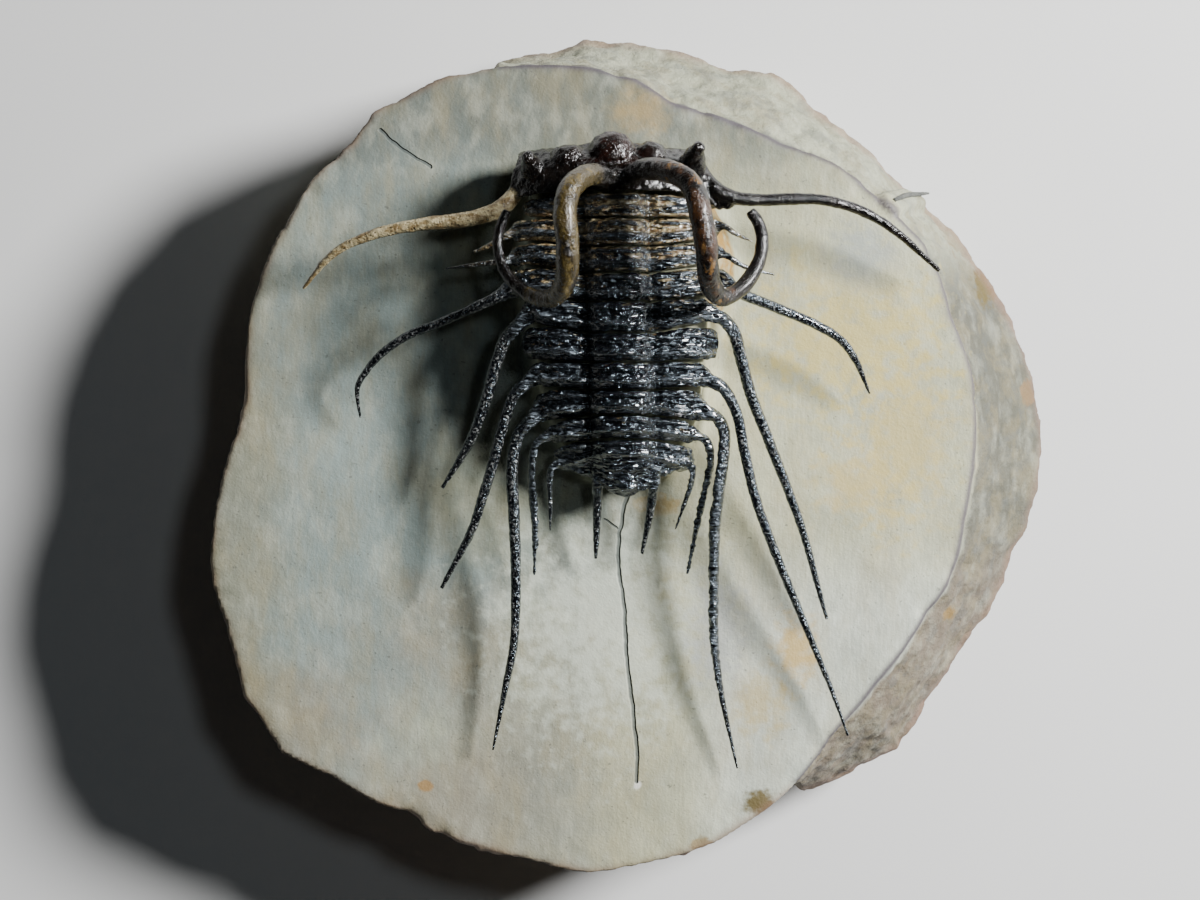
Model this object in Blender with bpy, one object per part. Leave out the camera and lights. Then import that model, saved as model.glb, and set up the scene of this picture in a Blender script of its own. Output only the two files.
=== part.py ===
"""A spiny trilobite with two curled horns, on its loose piece of pale limestone.

+Y points from the tail to the head, X runs across the animal, and +Z is up. The origin is at
the middle of the stone's flat underside. Lengths are millimetres until a mesh is made.
"""

import math

import bmesh
import bpy

MM = 0.001
SHARP_ANGLE = 50.0

# Joints between the pieces
PLATE_GAP = 0.3
BED_GAP = 0.45

# Stone
FACE_HEIGHT = 30.0
FACE_CROWN = 1.0
WAIST_HEIGHT = 12.0
BASE_SHARE = 0.9
STEEP_SHARE = 0.985
LOWER_WALL_SHARE = 0.975
LOWER_WALL_HEIGHT = 5.0
WALL_SWELL = 0.45
WALL_WAVES = (7.0, 13.0)
WAIST_WAVE = 1.2
STONE_SIDES = 72
CROWN_REACH = 55.0
FACE_UNEVEN = 0.35
FACE_ROWS = ((0.0, 0.9), (0.018, 0.0), (0.12, 0.0), (0.36, 0.0), (0.62, 0.0), (0.85, 0.0))
FACE_EDGE = [
    (48.4, 3.3), (47.9, 10.5), (45.0, 18.7), (43.3, 24.5), (41.1, 29.1), (35.6, 34.4), (29.3, 40.1),
    (20.9, 43.2), (13.5, 46.6), (5.7, 48.8), (0.5, 52.2), (-6.9, 54.0), (-16.5, 54.4), (-21.5, 54.0),
    (-27.4, 52.6), (-32.6, 49.7), (-37.0, 47.8), (-39.6, 43.6), (-42.9, 40.8), (-46.1, 37.6),
    (-48.7, 33.0), (-50.2, 30.6), (-52.4, 25.4), (-54.0, 21.1), (-54.7, 7.0), (-56.5, 1.6),
    (-58.7, -6.2), (-60.1, -15.6), (-59.4, -20.4), (-57.9, -23.9), (-55.9, -31.6), (-55.2, -35.0),
    (-52.9, -37.7), (-50.1, -42.8), (-46.3, -44.6), (-42.6, -46.2), (-36.6, -49.9), (-31.7, -51.7),
    (-28.5, -54.4), (-21.5, -56.3), (-14.5, -58.2), (-6.2, -60.0), (2.7, -58.3), (11.7, -55.5),
    (15.6, -53.0), (21.2, -48.9), (28.6, -39.8), (34.6, -32.8), (40.8, -24.1), (45.1, -18.0),
    (46.8, -9.9), (47.8, -4.2),
]
FLARED_EDGE = [
    (23.8, -50.4), (27.9, -49.8), (33.3, -47.1), (39.6, -44.3), (43.3, -37.8), (48.6, -29.5),
    (52.7, -23.2), (55.4, -16.1), (57.9, -11.7), (59.4, -5.9), (60.1, 1.4), (59.1, 10.0),
    (55.7, 19.5), (51.8, 26.3), (47.7, 31.8), (43.2, 36.1), (38.7, 39.7), (32.9, 45.7),
    (27.2, 50.3), (20.5, 55.1), (13.1, 56.6), (5.1, 58.8), (-1.1, 59.9), (-6.6, 59.9),
    (-12.7, 58.3), (-17.7, 57.5), (-22.2, 56.6),
]

# Pedestal of stone left under the body
PEDESTAL_ROWS = [
    (34.3, 1.4), (33.0, 0.5), (31.0, 0.0), (27.5, 0.0), (23.5, 0.0), (19.5, 0.0), (15.5, 0.0),
    (11.5, 0.0), (8.0, 0.1), (4.5, 0.2), (1.5, 0.4), (-1.0, 0.8), (-3.0, 1.4), (-4.6, 2.2),
]
PEDESTAL_INSET = 1.6
PEDESTAL_FOOT = 2.2
PEDESTAL_ROOT = 27.0
PEDESTAL_SHARES = (1.0, 0.75, 0.5)
PEDESTAL_LOBE = (4.4, 3.4, 1.8)
FOOT_RISE = 0.6
WALL_BREAK = 0.6
RIGHT_BULGE = 2.4
BULGE_START = 17.0
BULGE_RUN = 6.0

# Back of the animal: height of the level inner part of the side lobes, from head to tail
BACK_LEVEL = [
    (36.0, 45.0), (28.0, 45.8), (20.0, 46.2), (13.0, 45.6), (7.0, 43.9), (3.0, 41.9), (-1.0, 39.4),
    (-6.0, 37.0),
]
HALF_WIDTH = [
    (36.0, 12.0), (32.6, 12.5), (28.8, 14.5), (21.3, 14.5), (17.1, 13.8), (13.1, 13.2), (9.4, 13.0),
    (6.0, 12.4), (2.7, 11.6), (0.9, 10.4), (-2.5, 8.4), (-6.4, 6.0),
]
LOBE_HALF = 4.4
LOBE_RISE = 2.6
LOBE_TAPER = 0.035
FURROW_DEPTH = 0.5
FURROW_HALF = 1.2
SIDE_FALL = 0.24
FALL_START = 0.45
FALL_SPREAD = 0.3
PLATE_DEPTH = 1.7

# Plates of the middle body
RIDGE_LIFT = 0.9
RIDGE_HALF = 0.5
REAR_WIDTH = 1.15
RING_STATIONS = (-0.78, -0.52, -0.32, -0.29, -0.22, -0.11, 0.0, 0.11, 0.22, 0.29, 0.32, 0.52, 0.78)
SPINE_BLEND = 3.4
ROOT_ROUNDNESS = 0.35
ROOT_POINTS = 4
BLUNT_END = (0.45, 0.85)
BLUNT_STEP = 1.2
END_NARROWING = 0.93
NARROW_FROM = 0.7
SWEEP_START = 0.25
SWEEP_RUN = 0.6

# Head shield, with each cheek's half width at the neck, half width in front and rearward sweep
HEAD_REAR = 34.9
HEAD_FRONT = 41.5
HEAD_TOP = 47.4
HEAD_EDGE = 34.0
HEAD_FALL = 5.2
CHEEK_CURVE = 5
CHEEK_LEFT = (14.4, 13.3, 1.2)
CHEEK_RIGHT = (14.6, 12.3, 2.5)
BROW_QUICKNESS = 1.7
FRONT_ROUNDING = 0.7
FRONT_STEEPNESS = 0.6
TOP_FULLNESS = 0.5
FRONT_CURVE = 5
TOP_CURVE = 2.2
EDGE_RISE = 1.2
SHELL_DEPTH = 1.9


def between(low, high, share):
    return low + (high - low) * share


def smooth_share(share):
    share = min(max(share, 0.0), 1.0)
    return share * share * (3.0 - 2.0 * share)


def read_profile(profile, y):
    """Value of a head-to-tail profile at y, which falls along the list."""
    if y >= profile[0][0]:
        return profile[0][1]
    for (y_front, front), (y_rear, rear) in zip(profile, profile[1:]):
        if y >= y_rear:
            return between(front, rear, (y_front - y) / (y_front - y_rear))
    return profile[-1][1]


def axis_x(y):
    """The midline leans a little across the stone."""
    return -1.3 - 0.036 * (y + 5.0)


def back_height(x, y):
    """Smooth height of the back: a raised middle lobe, level side lobes that bend down outside."""
    across = abs(x - axis_x(y))
    half = read_profile(HALF_WIDTH, y)
    rise = LOBE_RISE - LOBE_TAPER * max(0.0, 15.0 - y)
    lobe = rise * math.sqrt(max(0.0, 1.0 - (across / LOBE_HALF) ** 2))
    furrow = FURROW_DEPTH * max(0.0, 1.0 - abs(across - LOBE_HALF) / FURROW_HALF)
    fall = SIDE_FALL * half * max(0.0, across / half - FALL_START) ** 2 / FALL_SPREAD
    return read_profile(BACK_LEVEL, y) + lobe - furrow - fall


def curve_point(points, index, share):
    """Point on the smooth curve through the listed points, between index and index + 1."""
    last = len(points) - 1
    a, b = points[max(index - 1, 0)], points[index]
    c, d = points[min(index + 1, last)], points[min(index + 2, last)]
    return tuple(
        0.5 * (2 * q + (r - p) * share + (2 * p - 5 * q + 4 * r - s) * share**2
               + (3 * q - p - 3 * r + s) * share**3)
        for p, q, r, s in zip(a, b, c, d)
    )


def smooth_route(points, steps):
    """The listed points with extra points between them, as many as steps asks for at each one."""
    route = []
    for index in range(len(points) - 1):
        count = steps(index)
        route += [curve_point(points, index, step / count) for step in range(count)]
    return route + [tuple(points[-1])]


def paint(name, colour, roughness):
    material = bpy.data.materials.new(name)
    material.use_nodes = True
    shader = material.node_tree.nodes["Principled BSDF"]
    shader.inputs["Base Color"].default_value = (*colour, 1.0)
    shader.inputs["Roughness"].default_value = roughness
    return material


def make_solid(name, bm, material):
    bmesh.ops.recalc_face_normals(bm, faces=bm.faces)
    bmesh.ops.scale(bm, vec=(MM, MM, MM), verts=bm.verts)
    mesh = bpy.data.meshes.new(name)
    bm.to_mesh(mesh)
    bm.free()
    mesh.materials.append(material)
    mesh.shade_smooth()
    mesh.set_sharp_from_angle(angle=math.radians(SHARP_ANGLE))
    solid = bpy.data.objects.new(name, mesh)
    bpy.context.scene.collection.objects.link(solid)
    return solid


def loft(rings):
    """A closed mesh through rings of equally many points, with a fan over each end."""
    bm = bmesh.new()
    rows = [[bm.verts.new(point) for point in ring] for ring in rings]
    sides = len(rows[0])
    for row, following in zip(rows, rows[1:]):
        for k in range(sides):
            bm.faces.new((row[k], row[(k + 1) % sides], following[(k + 1) % sides], following[k]))
    for row in (rows[0], rows[-1]):
        middle = bm.verts.new([sum(vert.co[axis] for vert in row) / sides for axis in range(3)])
        for k in range(sides):
            bm.faces.new((row[k], row[(k + 1) % sides], middle))
    return bm


def combine(body, others, operation="UNION"):
    """Joins the others to the body in one solid, or cuts them from it, and removes them."""
    for other in others:
        joint = body.modifiers.new("join_" + other.name, "BOOLEAN")
        joint.operation = operation
        joint.solver = "EXACT"
        joint.object = other
    evaluated = body.evaluated_get(bpy.context.evaluated_depsgraph_get())
    joined = bpy.data.meshes.new_from_object(evaluated)
    body.modifiers.clear()
    body.data = joined
    for other in others:
        bpy.data.objects.remove(other)
    return body


def tube_rings(route, sides):
    """Round sections square to a route of (x, y, z, radius)."""
    rings = []
    across = None
    for index, (x, y, z, radius) in enumerate(route):
        before, after = route[max(index - 1, 0)], route[min(index + 1, len(route) - 1)]
        along = [after[axis] - before[axis] for axis in range(3)]
        length = math.sqrt(sum(value * value for value in along))
        along = [value / length for value in along]
        seed = across or (0.0, 0.0, 1.0)
        lean = sum(s * a for s, a in zip(seed, along))
        across = [s - lean * a for s, a in zip(seed, along)]
        length = math.sqrt(sum(value * value for value in across))
        across = [value / length for value in across]
        other = (
            along[1] * across[2] - along[2] * across[1],
            along[2] * across[0] - along[0] * across[2],
            along[0] * across[1] - along[1] * across[0],
        )
        ring = []
        for k in range(sides):
            turn = 2 * math.pi * k / sides
            ring.append([
                centre + radius * (math.cos(turn) * p + math.sin(turn) * q)
                for centre, p, q in zip((x, y, z), across, other)
            ])
        rings.append(ring)
    return rings


def knob(name, centre, radii, material):
    """An egg-shaped lump."""
    bm = bmesh.new()
    bmesh.ops.create_icosphere(bm, subdivisions=2, radius=1.0)
    bmesh.ops.scale(bm, vec=radii, verts=bm.verts)
    bmesh.ops.translate(bm, vec=centre, verts=bm.verts)
    return make_solid(name, bm, material)


# Stone
def edge_radius(outline, angle):
    """Distance from the middle to an outline, in the direction of the angle."""
    aim = (math.cos(angle), math.sin(angle))
    best = None
    for (x1, y1), (x2, y2) in zip(outline, outline[1:] + outline[:1]):
        cross = aim[0] * (y2 - y1) - aim[1] * (x2 - x1)
        if abs(cross) < 1e-9:
            continue
        reach = (x1 * (y2 - y1) - y1 * (x2 - x1)) / cross
        share = (x1 * aim[1] - y1 * aim[0]) / cross
        if reach > 0 and -1e-9 <= share <= 1 + 1e-9:
            best = reach if best is None else max(best, reach)
    return best


def waist_radius(angle):
    """The right and head sides flare out below the face, and the others drop steeply."""
    steep = edge_radius(FACE_EDGE, angle) * STEEP_SHARE
    first = math.atan2(FLARED_EDGE[0][1], FLARED_EDGE[0][0])
    last = math.atan2(FLARED_EDGE[-1][1], FLARED_EDGE[-1][0])
    turn = (angle - first) % (2 * math.pi)
    if turn > last - first:
        return steep
    flared = edge_radius([(0.0, 0.0)] + FLARED_EDGE, angle)
    return max(steep, flared or steep)


def face_height(x, y):
    """The face is nearly level, a little crowned and gently uneven."""
    crown = FACE_CROWN * (1.0 - (x * x + y * y) / CROWN_REACH**2)
    swell = FACE_UNEVEN * math.sin(0.11 * x + 1.0) * math.cos(0.13 * y - 0.4)
    return FACE_HEIGHT + crown + swell


def slab_rings():
    """Level sections of the slab from its underside to its face, then rings inward over the face."""
    angles = [2 * math.pi * k / STONE_SIDES for k in range(STONE_SIDES)]
    rim = [edge_radius(FACE_EDGE, angle) for angle in angles]
    waist = [waist_radius(angle) for angle in angles]
    rings = []
    wall = (
        ([BASE_SHARE * radius for radius in waist], 0.0, 0.0),
        ([LOWER_WALL_SHARE * radius for radius in waist], LOWER_WALL_HEIGHT, WALL_SWELL),
        (waist, WAIST_HEIGHT, 0.0),
        ([between(*pair, 0.5) for pair in zip(waist, rim)], between(WAIST_HEIGHT, FACE_HEIGHT, 0.5),
         WALL_SWELL),
    )
    slow, quick = WALL_WAVES
    for radii, height, swell in wall:
        ring = []
        for radius, angle in zip(radii, angles):
            radius += swell * (math.sin(slow * angle + height) + 0.6 * math.sin(quick * angle - 2.0))
            lift = WAIST_WAVE * math.sin(4.0 * angle + 0.2 * height) if height else 0.0
            ring.append((radius * math.cos(angle), radius * math.sin(angle), height + lift))
        rings.append(ring)
    for inward, drop in FACE_ROWS:
        ring = []
        for k, angle in enumerate(angles):
            radius = rim[k] * (1.0 - inward)
            x, y = radius * math.cos(angle), radius * math.sin(angle)
            ring.append((x, y, face_height(x, y) - drop))
        rings.append(ring)
    return rings


def pedestal_rings():
    """Sections across the stone core that fills the body from below, down into the slab."""
    rings = []
    for y, sunk in PEDESTAL_ROWS:
        half = read_profile(HALF_WIDTH, y) - PEDESTAL_INSET
        middle = axis_x(y)
        bulge = RIGHT_BULGE * smooth_share((y - BULGE_START) / BULGE_RUN)
        outward = [share * half for share in PEDESTAL_SHARES] + list(PEDESTAL_LOBE)
        top = [
            (middle + across, y, back_height(middle + across, y) - PLATE_DEPTH - BED_GAP - sunk)
            for across in [-reach for reach in outward] + [0.0] + outward[::-1]
        ]
        low = FACE_HEIGHT + FOOT_RISE
        left, right = middle - half - PEDESTAL_FOOT, middle + half + PEDESTAL_FOOT + bulge
        wall = between(low, top[-1][2], WALL_BREAK)
        rings.append(
            [(left, y, PEDESTAL_ROOT), (left, y, low), (middle - half - 0.3, y, wall)]
            + top
            + [(middle + half + 0.2 + bulge, y, wall), (right, y, low), (right, y, PEDESTAL_ROOT)]
        )
    return rings


def visor_point(across, down, inset):
    """Point of the head shield. Across runs -1 to 1, and down runs 0 at the neck to 1 in front."""
    reach = abs(across)
    cheek, brow, sweep = CHEEK_LEFT if across < 0 else CHEEK_RIGHT
    half = between(cheek, brow, smooth_share(BROW_QUICKNESS * down)) - inset
    rear = HEAD_REAR - sweep * reach**CHEEK_CURVE + 0.3 * inset
    front = HEAD_FRONT - FRONT_ROUNDING * reach**FRONT_CURVE - inset
    top = HEAD_TOP - HEAD_FALL * reach**TOP_CURVE - inset
    edge = HEAD_EDGE + EDGE_RISE * reach**2
    turn = down * math.pi / 2
    return (
        axis_x(HEAD_REAR) + across * half,
        between(rear, front, math.sin(turn) ** FRONT_STEEPNESS),
        between(edge, top, max(math.cos(turn), 0.0) ** TOP_FULLNESS),
    )


VISOR_ACROSS = (-1.0, -0.85, -0.65, -0.42, -0.2, 0.0, 0.2, 0.42, 0.65, 0.85, 1.0)
VISOR_DOWN = (0.0, 0.22, 0.42, 0.6, 0.78, 0.92, 1.0)


def visor_sheet(bm, inset):
    return [[bm.verts.new(visor_point(a, d, inset)) for a in VISOR_ACROSS] for d in VISOR_DOWN]


def sheet_edge(rows):
    """The corners around a sheet, in order."""
    last = len(rows[0]) - 1
    right = [row[last] for row in rows[1:-1]]
    left = [row[0] for row in rows[1:-1]]
    return list(rows[0]) + right + list(reversed(rows[-1])) + list(reversed(left))


def fill_sheet(bm, rows):
    for row, following in zip(rows, rows[1:]):
        for k in range(len(row) - 1):
            bm.faces.new((row[k], row[k + 1], following[k + 1], following[k]))


def join_edges(bm, first, second):
    for k in range(len(first)):
        n = (k + 1) % len(first)
        bm.faces.new((first[k], first[n], second[n], second[k]))


def head_filling(inset, floor):
    """The space inside the head shield, down to a floor."""
    bm = bmesh.new()
    rows = visor_sheet(bm, inset)
    edge = sheet_edge(rows)
    root = [bm.verts.new((vert.co.x, vert.co.y, floor)) for vert in edge]
    fill_sheet(bm, rows)
    join_edges(bm, edge, root)
    bm.faces.new(root)
    return bm


def make_matrix(material):
    slab = make_solid("matrix", loft(slab_rings()), material)
    pedestal = make_solid("pedestal", loft(pedestal_rings()), material)
    core = make_solid("core", head_filling(SHELL_DEPTH + BED_GAP, PEDESTAL_ROOT), material)
    return combine(slab, [combine(pedestal, [core])])


# Middle body
def ridge_y(plate, x):
    """Line of the plate's raised ridge: straight over the middle lobe, swept outside it."""
    across = abs(x - axis_x(plate["y"])) / read_profile(HALF_WIDTH, plate["y"])
    return plate["y"] + plate["sweep"] * smooth_share((across - SWEEP_START) / SWEEP_RUN)


def neck_y(x):
    """Rear edge of the head shield."""
    across = x - axis_x(HEAD_REAR)
    cheek, _, sweep = CHEEK_LEFT if across < 0 else CHEEK_RIGHT
    return HEAD_REAR - sweep * (abs(across) / cheek) ** CHEEK_CURVE


def front_width(plate, ahead, x):
    """How far the plate reaches ahead of its ridge, up to the plate or head before it."""
    limit = ridge_y(ahead, x) - REAR_WIDTH if ahead else neck_y(x)
    return limit - PLATE_GAP - ridge_y(plate, x)


def plate_corners(front, rear):
    """Outline of a plate's section, from the lower rear corner over the top to the lower front."""
    return (
        (-rear, -PLATE_DEPTH),
        (-rear, -0.1),
        (-RIDGE_HALF, RIDGE_LIFT),
        (between(-RIDGE_HALF, front, 0.3), RIDGE_LIFT),
        (between(0.0, front, 0.5), 0.1),
        (between(0.0, front, 0.8), 0.45),
        (front, -0.2),
        (front, -PLATE_DEPTH),
    )


ROUND_TURNS = (247.5, 202.5, 157.5, 112.5, 67.5, 22.5, -22.5, -67.5)


def blunt_end(plate, side):
    """The last two points of a plate that has no spine on that side."""
    end = axis_x(plate["y"]) + side * read_profile(HALF_WIDTH, plate["y"])
    edge = ridge_y(plate, end)
    return [(end - side * BLUNT_STEP, edge), (end, edge - 0.2)]


def plate_line(plate):
    """Points of the left spine from its tip, of the back, and of the right spine to its tip."""
    middle = axis_x(plate["y"])
    half = read_profile(HALF_WIDTH, plate["y"])
    back = [(middle + share * half, ridge_y(plate, middle + share * half)) for share in RING_STATIONS]
    left = plate["left"] or blunt_end(plate, -1)
    return left[::-1], back, plate["right"] or blunt_end(plate, 1)


def plate_stations(left, back, right):
    """Places of the sections along a plate, closer together near the roots of its spines."""
    line = [point[:2] for point in left + back + right]
    stations = []
    for index in range(len(line) - 1):
        from_root = len(left) - 1 - index if index < len(left) else index - len(left) - len(back)
        for share in (0.0, 0.5) if 0 <= from_root < ROOT_POINTS else (0.0,):
            stations.append((*curve_point(line, index, share), index + share))
    return stations + [(*line[-1], len(line) - 1)]


def spine_section(spine, root, place, x, y):
    """Height, radius and roundness of a spine's section at a fractional place in its points."""
    index = min(int(place), len(spine) - 2)
    height, radius = (
        between(spine[index][value], spine[index + 1][value], place - index) for value in (2, 3)
    )
    along = math.hypot(x - root[0], y - root[1])
    return height, radius, smooth_share((ROOT_ROUNDNESS + along / SPINE_BLEND) / root[3])


def plate_rings(plate, ahead):
    """Sections of a plate: flat over the back, turning round where it grows into a spine."""
    left, back, right = plate_line(plate)
    stations = plate_stations(left, back, right)
    middle = axis_x(plate["y"])
    half = read_profile(HALF_WIDTH, plate["y"])
    first_right = len(left) + len(back)
    last = len(stations) - 1
    rings = []
    for number, (x, y, place) in enumerate(stations):
        x_before, y_before, _ = stations[max(number - 1, 0)]
        x_after, y_after, _ = stations[min(number + 1, last)]
        run, rise = x_after - x_before, y_after - y_before
        length = math.hypot(run, rise)
        ahead_x, ahead_y = -rise / length, run / length
        front = front_width(plate, ahead, min(max(x, middle - half), middle + half))
        if abs(x - middle) > NARROW_FROM * half:
            front *= END_NARROWING
        height, radius, roundness = 0.0, 0.0, 0.0
        if plate["left"] and place <= len(left) - 1:
            height, radius, roundness = spine_section(left, left[-1], place, x, y)
        elif plate["right"] and place >= first_right:
            height, radius, roundness = spine_section(right, right[0], place - first_right, x, y)
        from_end = min(number, last - number)
        shrink = 1.0 if roundness or from_end >= len(BLUNT_END) else BLUNT_END[from_end]
        ring = []
        for (reach, lift), turn in zip(plate_corners(front, REAR_WIDTH), ROUND_TURNS):
            reach *= shrink
            lift = between(-0.5, lift, shrink)
            flat_x, flat_y = x + reach * ahead_x, y + reach * ahead_y
            flat_z = back_height(flat_x, flat_y) + lift if roundness < 1.0 else 0.0
            out = radius * math.cos(math.radians(turn))
            rise = radius * math.sin(math.radians(turn))
            ring.append((
                between(flat_x, x + out * ahead_x, roundness),
                between(flat_y, y + out * ahead_y, roundness),
                between(flat_z, height + rise, roundness),
            ))
        rings.append(ring)
    return rings


PLATES = [
    {"y": 32.6, "sweep": 0.2, "left": [], "right": []},
    {"y": 28.8, "sweep": 0.8,
     "left": [(-17.0, 29.2, 42.8, 0.5), (-19.8, 27.8, 42.4, 0.4), (-22.0, 26.9, 41.8, 0.2)],
     "right": [(11.9, 30.4, 42.6, 0.5), (13.7, 29.5, 42.0, 0.4), (16.1, 28.4, 41.0, 0.15)]},
    {"y": 25.2, "sweep": 1.1,
     "left": [(-17.0, 25.8, 43.0, 0.5), (-20.1, 25.4, 42.4, 0.4), (-25.9, 24.7, 40.8, 0.15)],
     "right": [(11.9, 26.6, 43.0, 0.5), (14.9, 25.0, 42.0, 0.4), (19.2, 23.9, 40.4, 0.15)]},
    {"y": 21.3, "sweep": 0.9,
     "left": [(-16.8, 21.6, 42.6, 1.0), (-21.1, 19.7, 41.8, 0.75), (-26.4, 17.4, 40.8, 0.68),
              (-30.9, 15.7, 39.6, 0.64), (-34.5, 13.4, 38.2, 0.6), (-36.8, 11.0, 36.8, 0.52),
              (-38.3, 8.4, 35.4, 0.42), (-38.0, 4.4, 33.6, 0.2)],
     "right": [(12.1, 22.4, 42.8, 1.0), (15.6, 20.8, 42.0, 0.8), (20.0, 19.1, 41.2, 0.75),
               (24.7, 17.2, 40.0, 0.71), (28.3, 15.1, 38.6, 0.65), (30.6, 12.2, 37.0, 0.54),
               (32.7, 7.7, 34.4, 0.2)]},
    {"y": 17.1, "sweep": 1.2,
     "left": [(-13.7, 18.6, 43.8, 1.05), (-17.2, 15.7, 42.6, 0.95), (-18.9, 11.7, 41.4, 0.9),
              (-20.3, 6.9, 40.2, 0.85), (-22.6, 1.0, 38.6, 0.7), (-26.5, -5.3, 36.2, 0.3)],
     "right": [(9.2, 18.5, 44.2, 1.1), (11.6, 18.0, 43.4, 1.0), (13.5, 16.0, 42.6, 0.95),
               (14.6, 12.2, 41.6, 0.9), (16.0, 7.3, 40.6, 0.85), (18.3, 1.6, 39.4, 0.8),
               (22.9, -10.1, 36.8, 0.65), (25.6, -19.4, 34.8, 0.45), (26.8, -23.6, 34.0, 0.25)]},
    {"y": 13.1, "sweep": 0.3, "left": [], "right": []},
    {"y": 9.4, "sweep": 0.4,
     "left": [(-13.2, 9.9, 42.6, 1.0), (-16.0, 8.0, 41.9, 0.85), (-17.7, 4.2, 41.0, 0.8),
              (-19.3, -1.6, 39.8, 0.78), (-20.8, -6.5, 38.6, 0.75), (-22.6, -11.6, 37.0, 0.65),
              (-26.7, -19.2, 34.5, 0.3)],
     "right": [(9.2, 9.7, 42.8, 1.0), (12.0, 8.5, 42.2, 0.85), (14.0, 4.8, 41.4, 0.8),
               (15.0, 0.1, 40.6, 0.78), (16.5, -6.2, 39.4, 0.75), (18.8, -12.6, 38.0, 0.7),
               (21.8, -19.9, 36.6, 0.62), (27.1, -32.5, 34.2, 0.42), (29.8, -39.8, 33.0, 0.2)]},
    {"y": 6.0, "sweep": -0.8,
     "left": [(-12.4, 5.0, 41.2, 1.0), (-15.0, 3.3, 40.5, 0.92), (-16.2, 1.2, 40.0, 0.9),
              (-16.8, -3.1, 39.2, 0.88), (-16.5, -9.7, 38.0, 0.85), (-16.3, -18.8, 36.6, 0.75),
              (-16.6, -26.6, 35.4, 0.65), (-17.9, -33.3, 34.2, 0.5), (-19.6, -41.8, 33.0, 0.2)],
     "right": [(8.6, 5.2, 41.5, 1.0), (11.1, 4.5, 40.7, 0.92), (12.2, 2.8, 40.2, 0.88),
               (12.3, -0.1, 39.6, 0.88), (11.8, -4.7, 38.8, 0.86), (11.1, -11.1, 37.8, 0.82),
               (11.0, -18.8, 36.6, 0.74), (11.1, -25.8, 35.4, 0.65), (12.0, -33.2, 34.4, 0.5),
               (14.4, -44.4, 32.8, 0.2)]},
    {"y": 2.7, "sweep": -0.7,
     "left": [(-11.2, 2.1, 39.8, 0.75), (-13.2, 1.2, 39.2, 0.6), (-14.0, -0.6, 38.8, 0.6),
              (-14.1, -4.7, 37.6, 0.6), (-13.7, -11.1, 36.2, 0.52), (-13.8, -17.5, 34.8, 0.22)],
     "right": [(8.0, 2.1, 40.0, 0.75), (9.8, 1.3, 39.2, 0.6), (10.5, -0.4, 38.8, 0.56),
               (10.3, -3.1, 38.0, 0.55), (9.2, -7.9, 36.8, 0.5), (7.4, -17.2, 34.6, 0.2)]},
]
TAIL = {"y": -0.5, "sweep": -1.3, "left": [], "right": []}
TAIL_EDGE = [
    (-9.6, -2.4), (-7.8, -3.3), (-5.4, -4.2), (-3.3, -5.8), (-1.1, -6.6), (0.8, -5.8), (2.9, -4.4),
    (4.8, -3.4), (6.3, -2.4),
]
TAIL_SPINES = (
    [(-5.2, -2.0, 38.4, 0.8), (-5.1, -4.4, 37.7, 0.8), (-5.1, -7.9, 36.3, 0.7),
     (-5.2, -12.0, 35.0, 0.55), (-5.3, -15.2, 34.2, 0.3)],
    [(3.0, -2.2, 38.5, 0.78), (2.7, -4.6, 37.8, 0.78), (2.2, -8.8, 36.1, 0.66),
     (1.1, -14.5, 34.2, 0.3)],
    [(-9.6, -1.3, 37.1, 0.7), (-11.1, -2.2, 37.1, 0.6), (-11.7, -3.9, 36.9, 0.5),
     (-11.6, -7.0, 36.3, 0.44), (-11.6, -11.3, 35.4, 0.2)],
    [(6.6, -1.3, 37.4, 0.7), (7.7, -2.0, 37.3, 0.6), (8.1, -3.1, 37.1, 0.5), (7.9, -4.6, 36.8, 0.46),
     (7.1, -7.1, 36.3, 0.4), (5.7, -11.1, 35.4, 0.2)],
)


def make_plates(material):
    ahead = None
    for number, plate in enumerate(PLATES, start=1):
        make_solid(f"thorax_segment_{number}", loft(plate_rings(plate, ahead)), material)
        ahead = plate


def tail_start(x):
    """Front edge of the plate behind the tail's ring."""
    return TAIL["y"] - 0.2 + TAIL["sweep"] * smooth_share((abs(x + 1.3) / 10.4 - SWEEP_START) / SWEEP_RUN)


def tail_plate():
    """Plate behind the tail's ring, drawn to a point in the middle."""
    bm = bmesh.new()
    rows = []
    for share in (0.0, 0.35, 0.7, 1.0):
        upper, lower = [], []
        for x, y in TAIL_EDGE:
            place = between(tail_start(x), y, share)
            height = back_height(x, place) + 0.25 * (1.0 - share) - 0.35 * share
            upper.append(bm.verts.new((x, place, height)))
            lower.append(bm.verts.new((x, place, back_height(x, place) - PLATE_DEPTH + 0.1)))
        rows.append((upper, lower))
    fill_sheet(bm, [upper for upper, _ in rows])
    fill_sheet(bm, [lower for _, lower in rows])
    join_edges(bm, sheet_edge([upper for upper, _ in rows]), sheet_edge([lower for _, lower in rows]))
    return bm


def make_tail(material):
    ring = make_solid("pygidium", loft(plate_rings(TAIL, PLATES[-1])), material)
    pieces = [make_solid("tail_plate", tail_plate(), material)]
    for number, route in enumerate(TAIL_SPINES):
        bm = loft(tube_rings(smooth_route(route, lambda index: 1), 8))
        pieces.append(make_solid(f"tail_spine_{number}", bm, material))
    return combine(ring, pieces)


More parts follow.
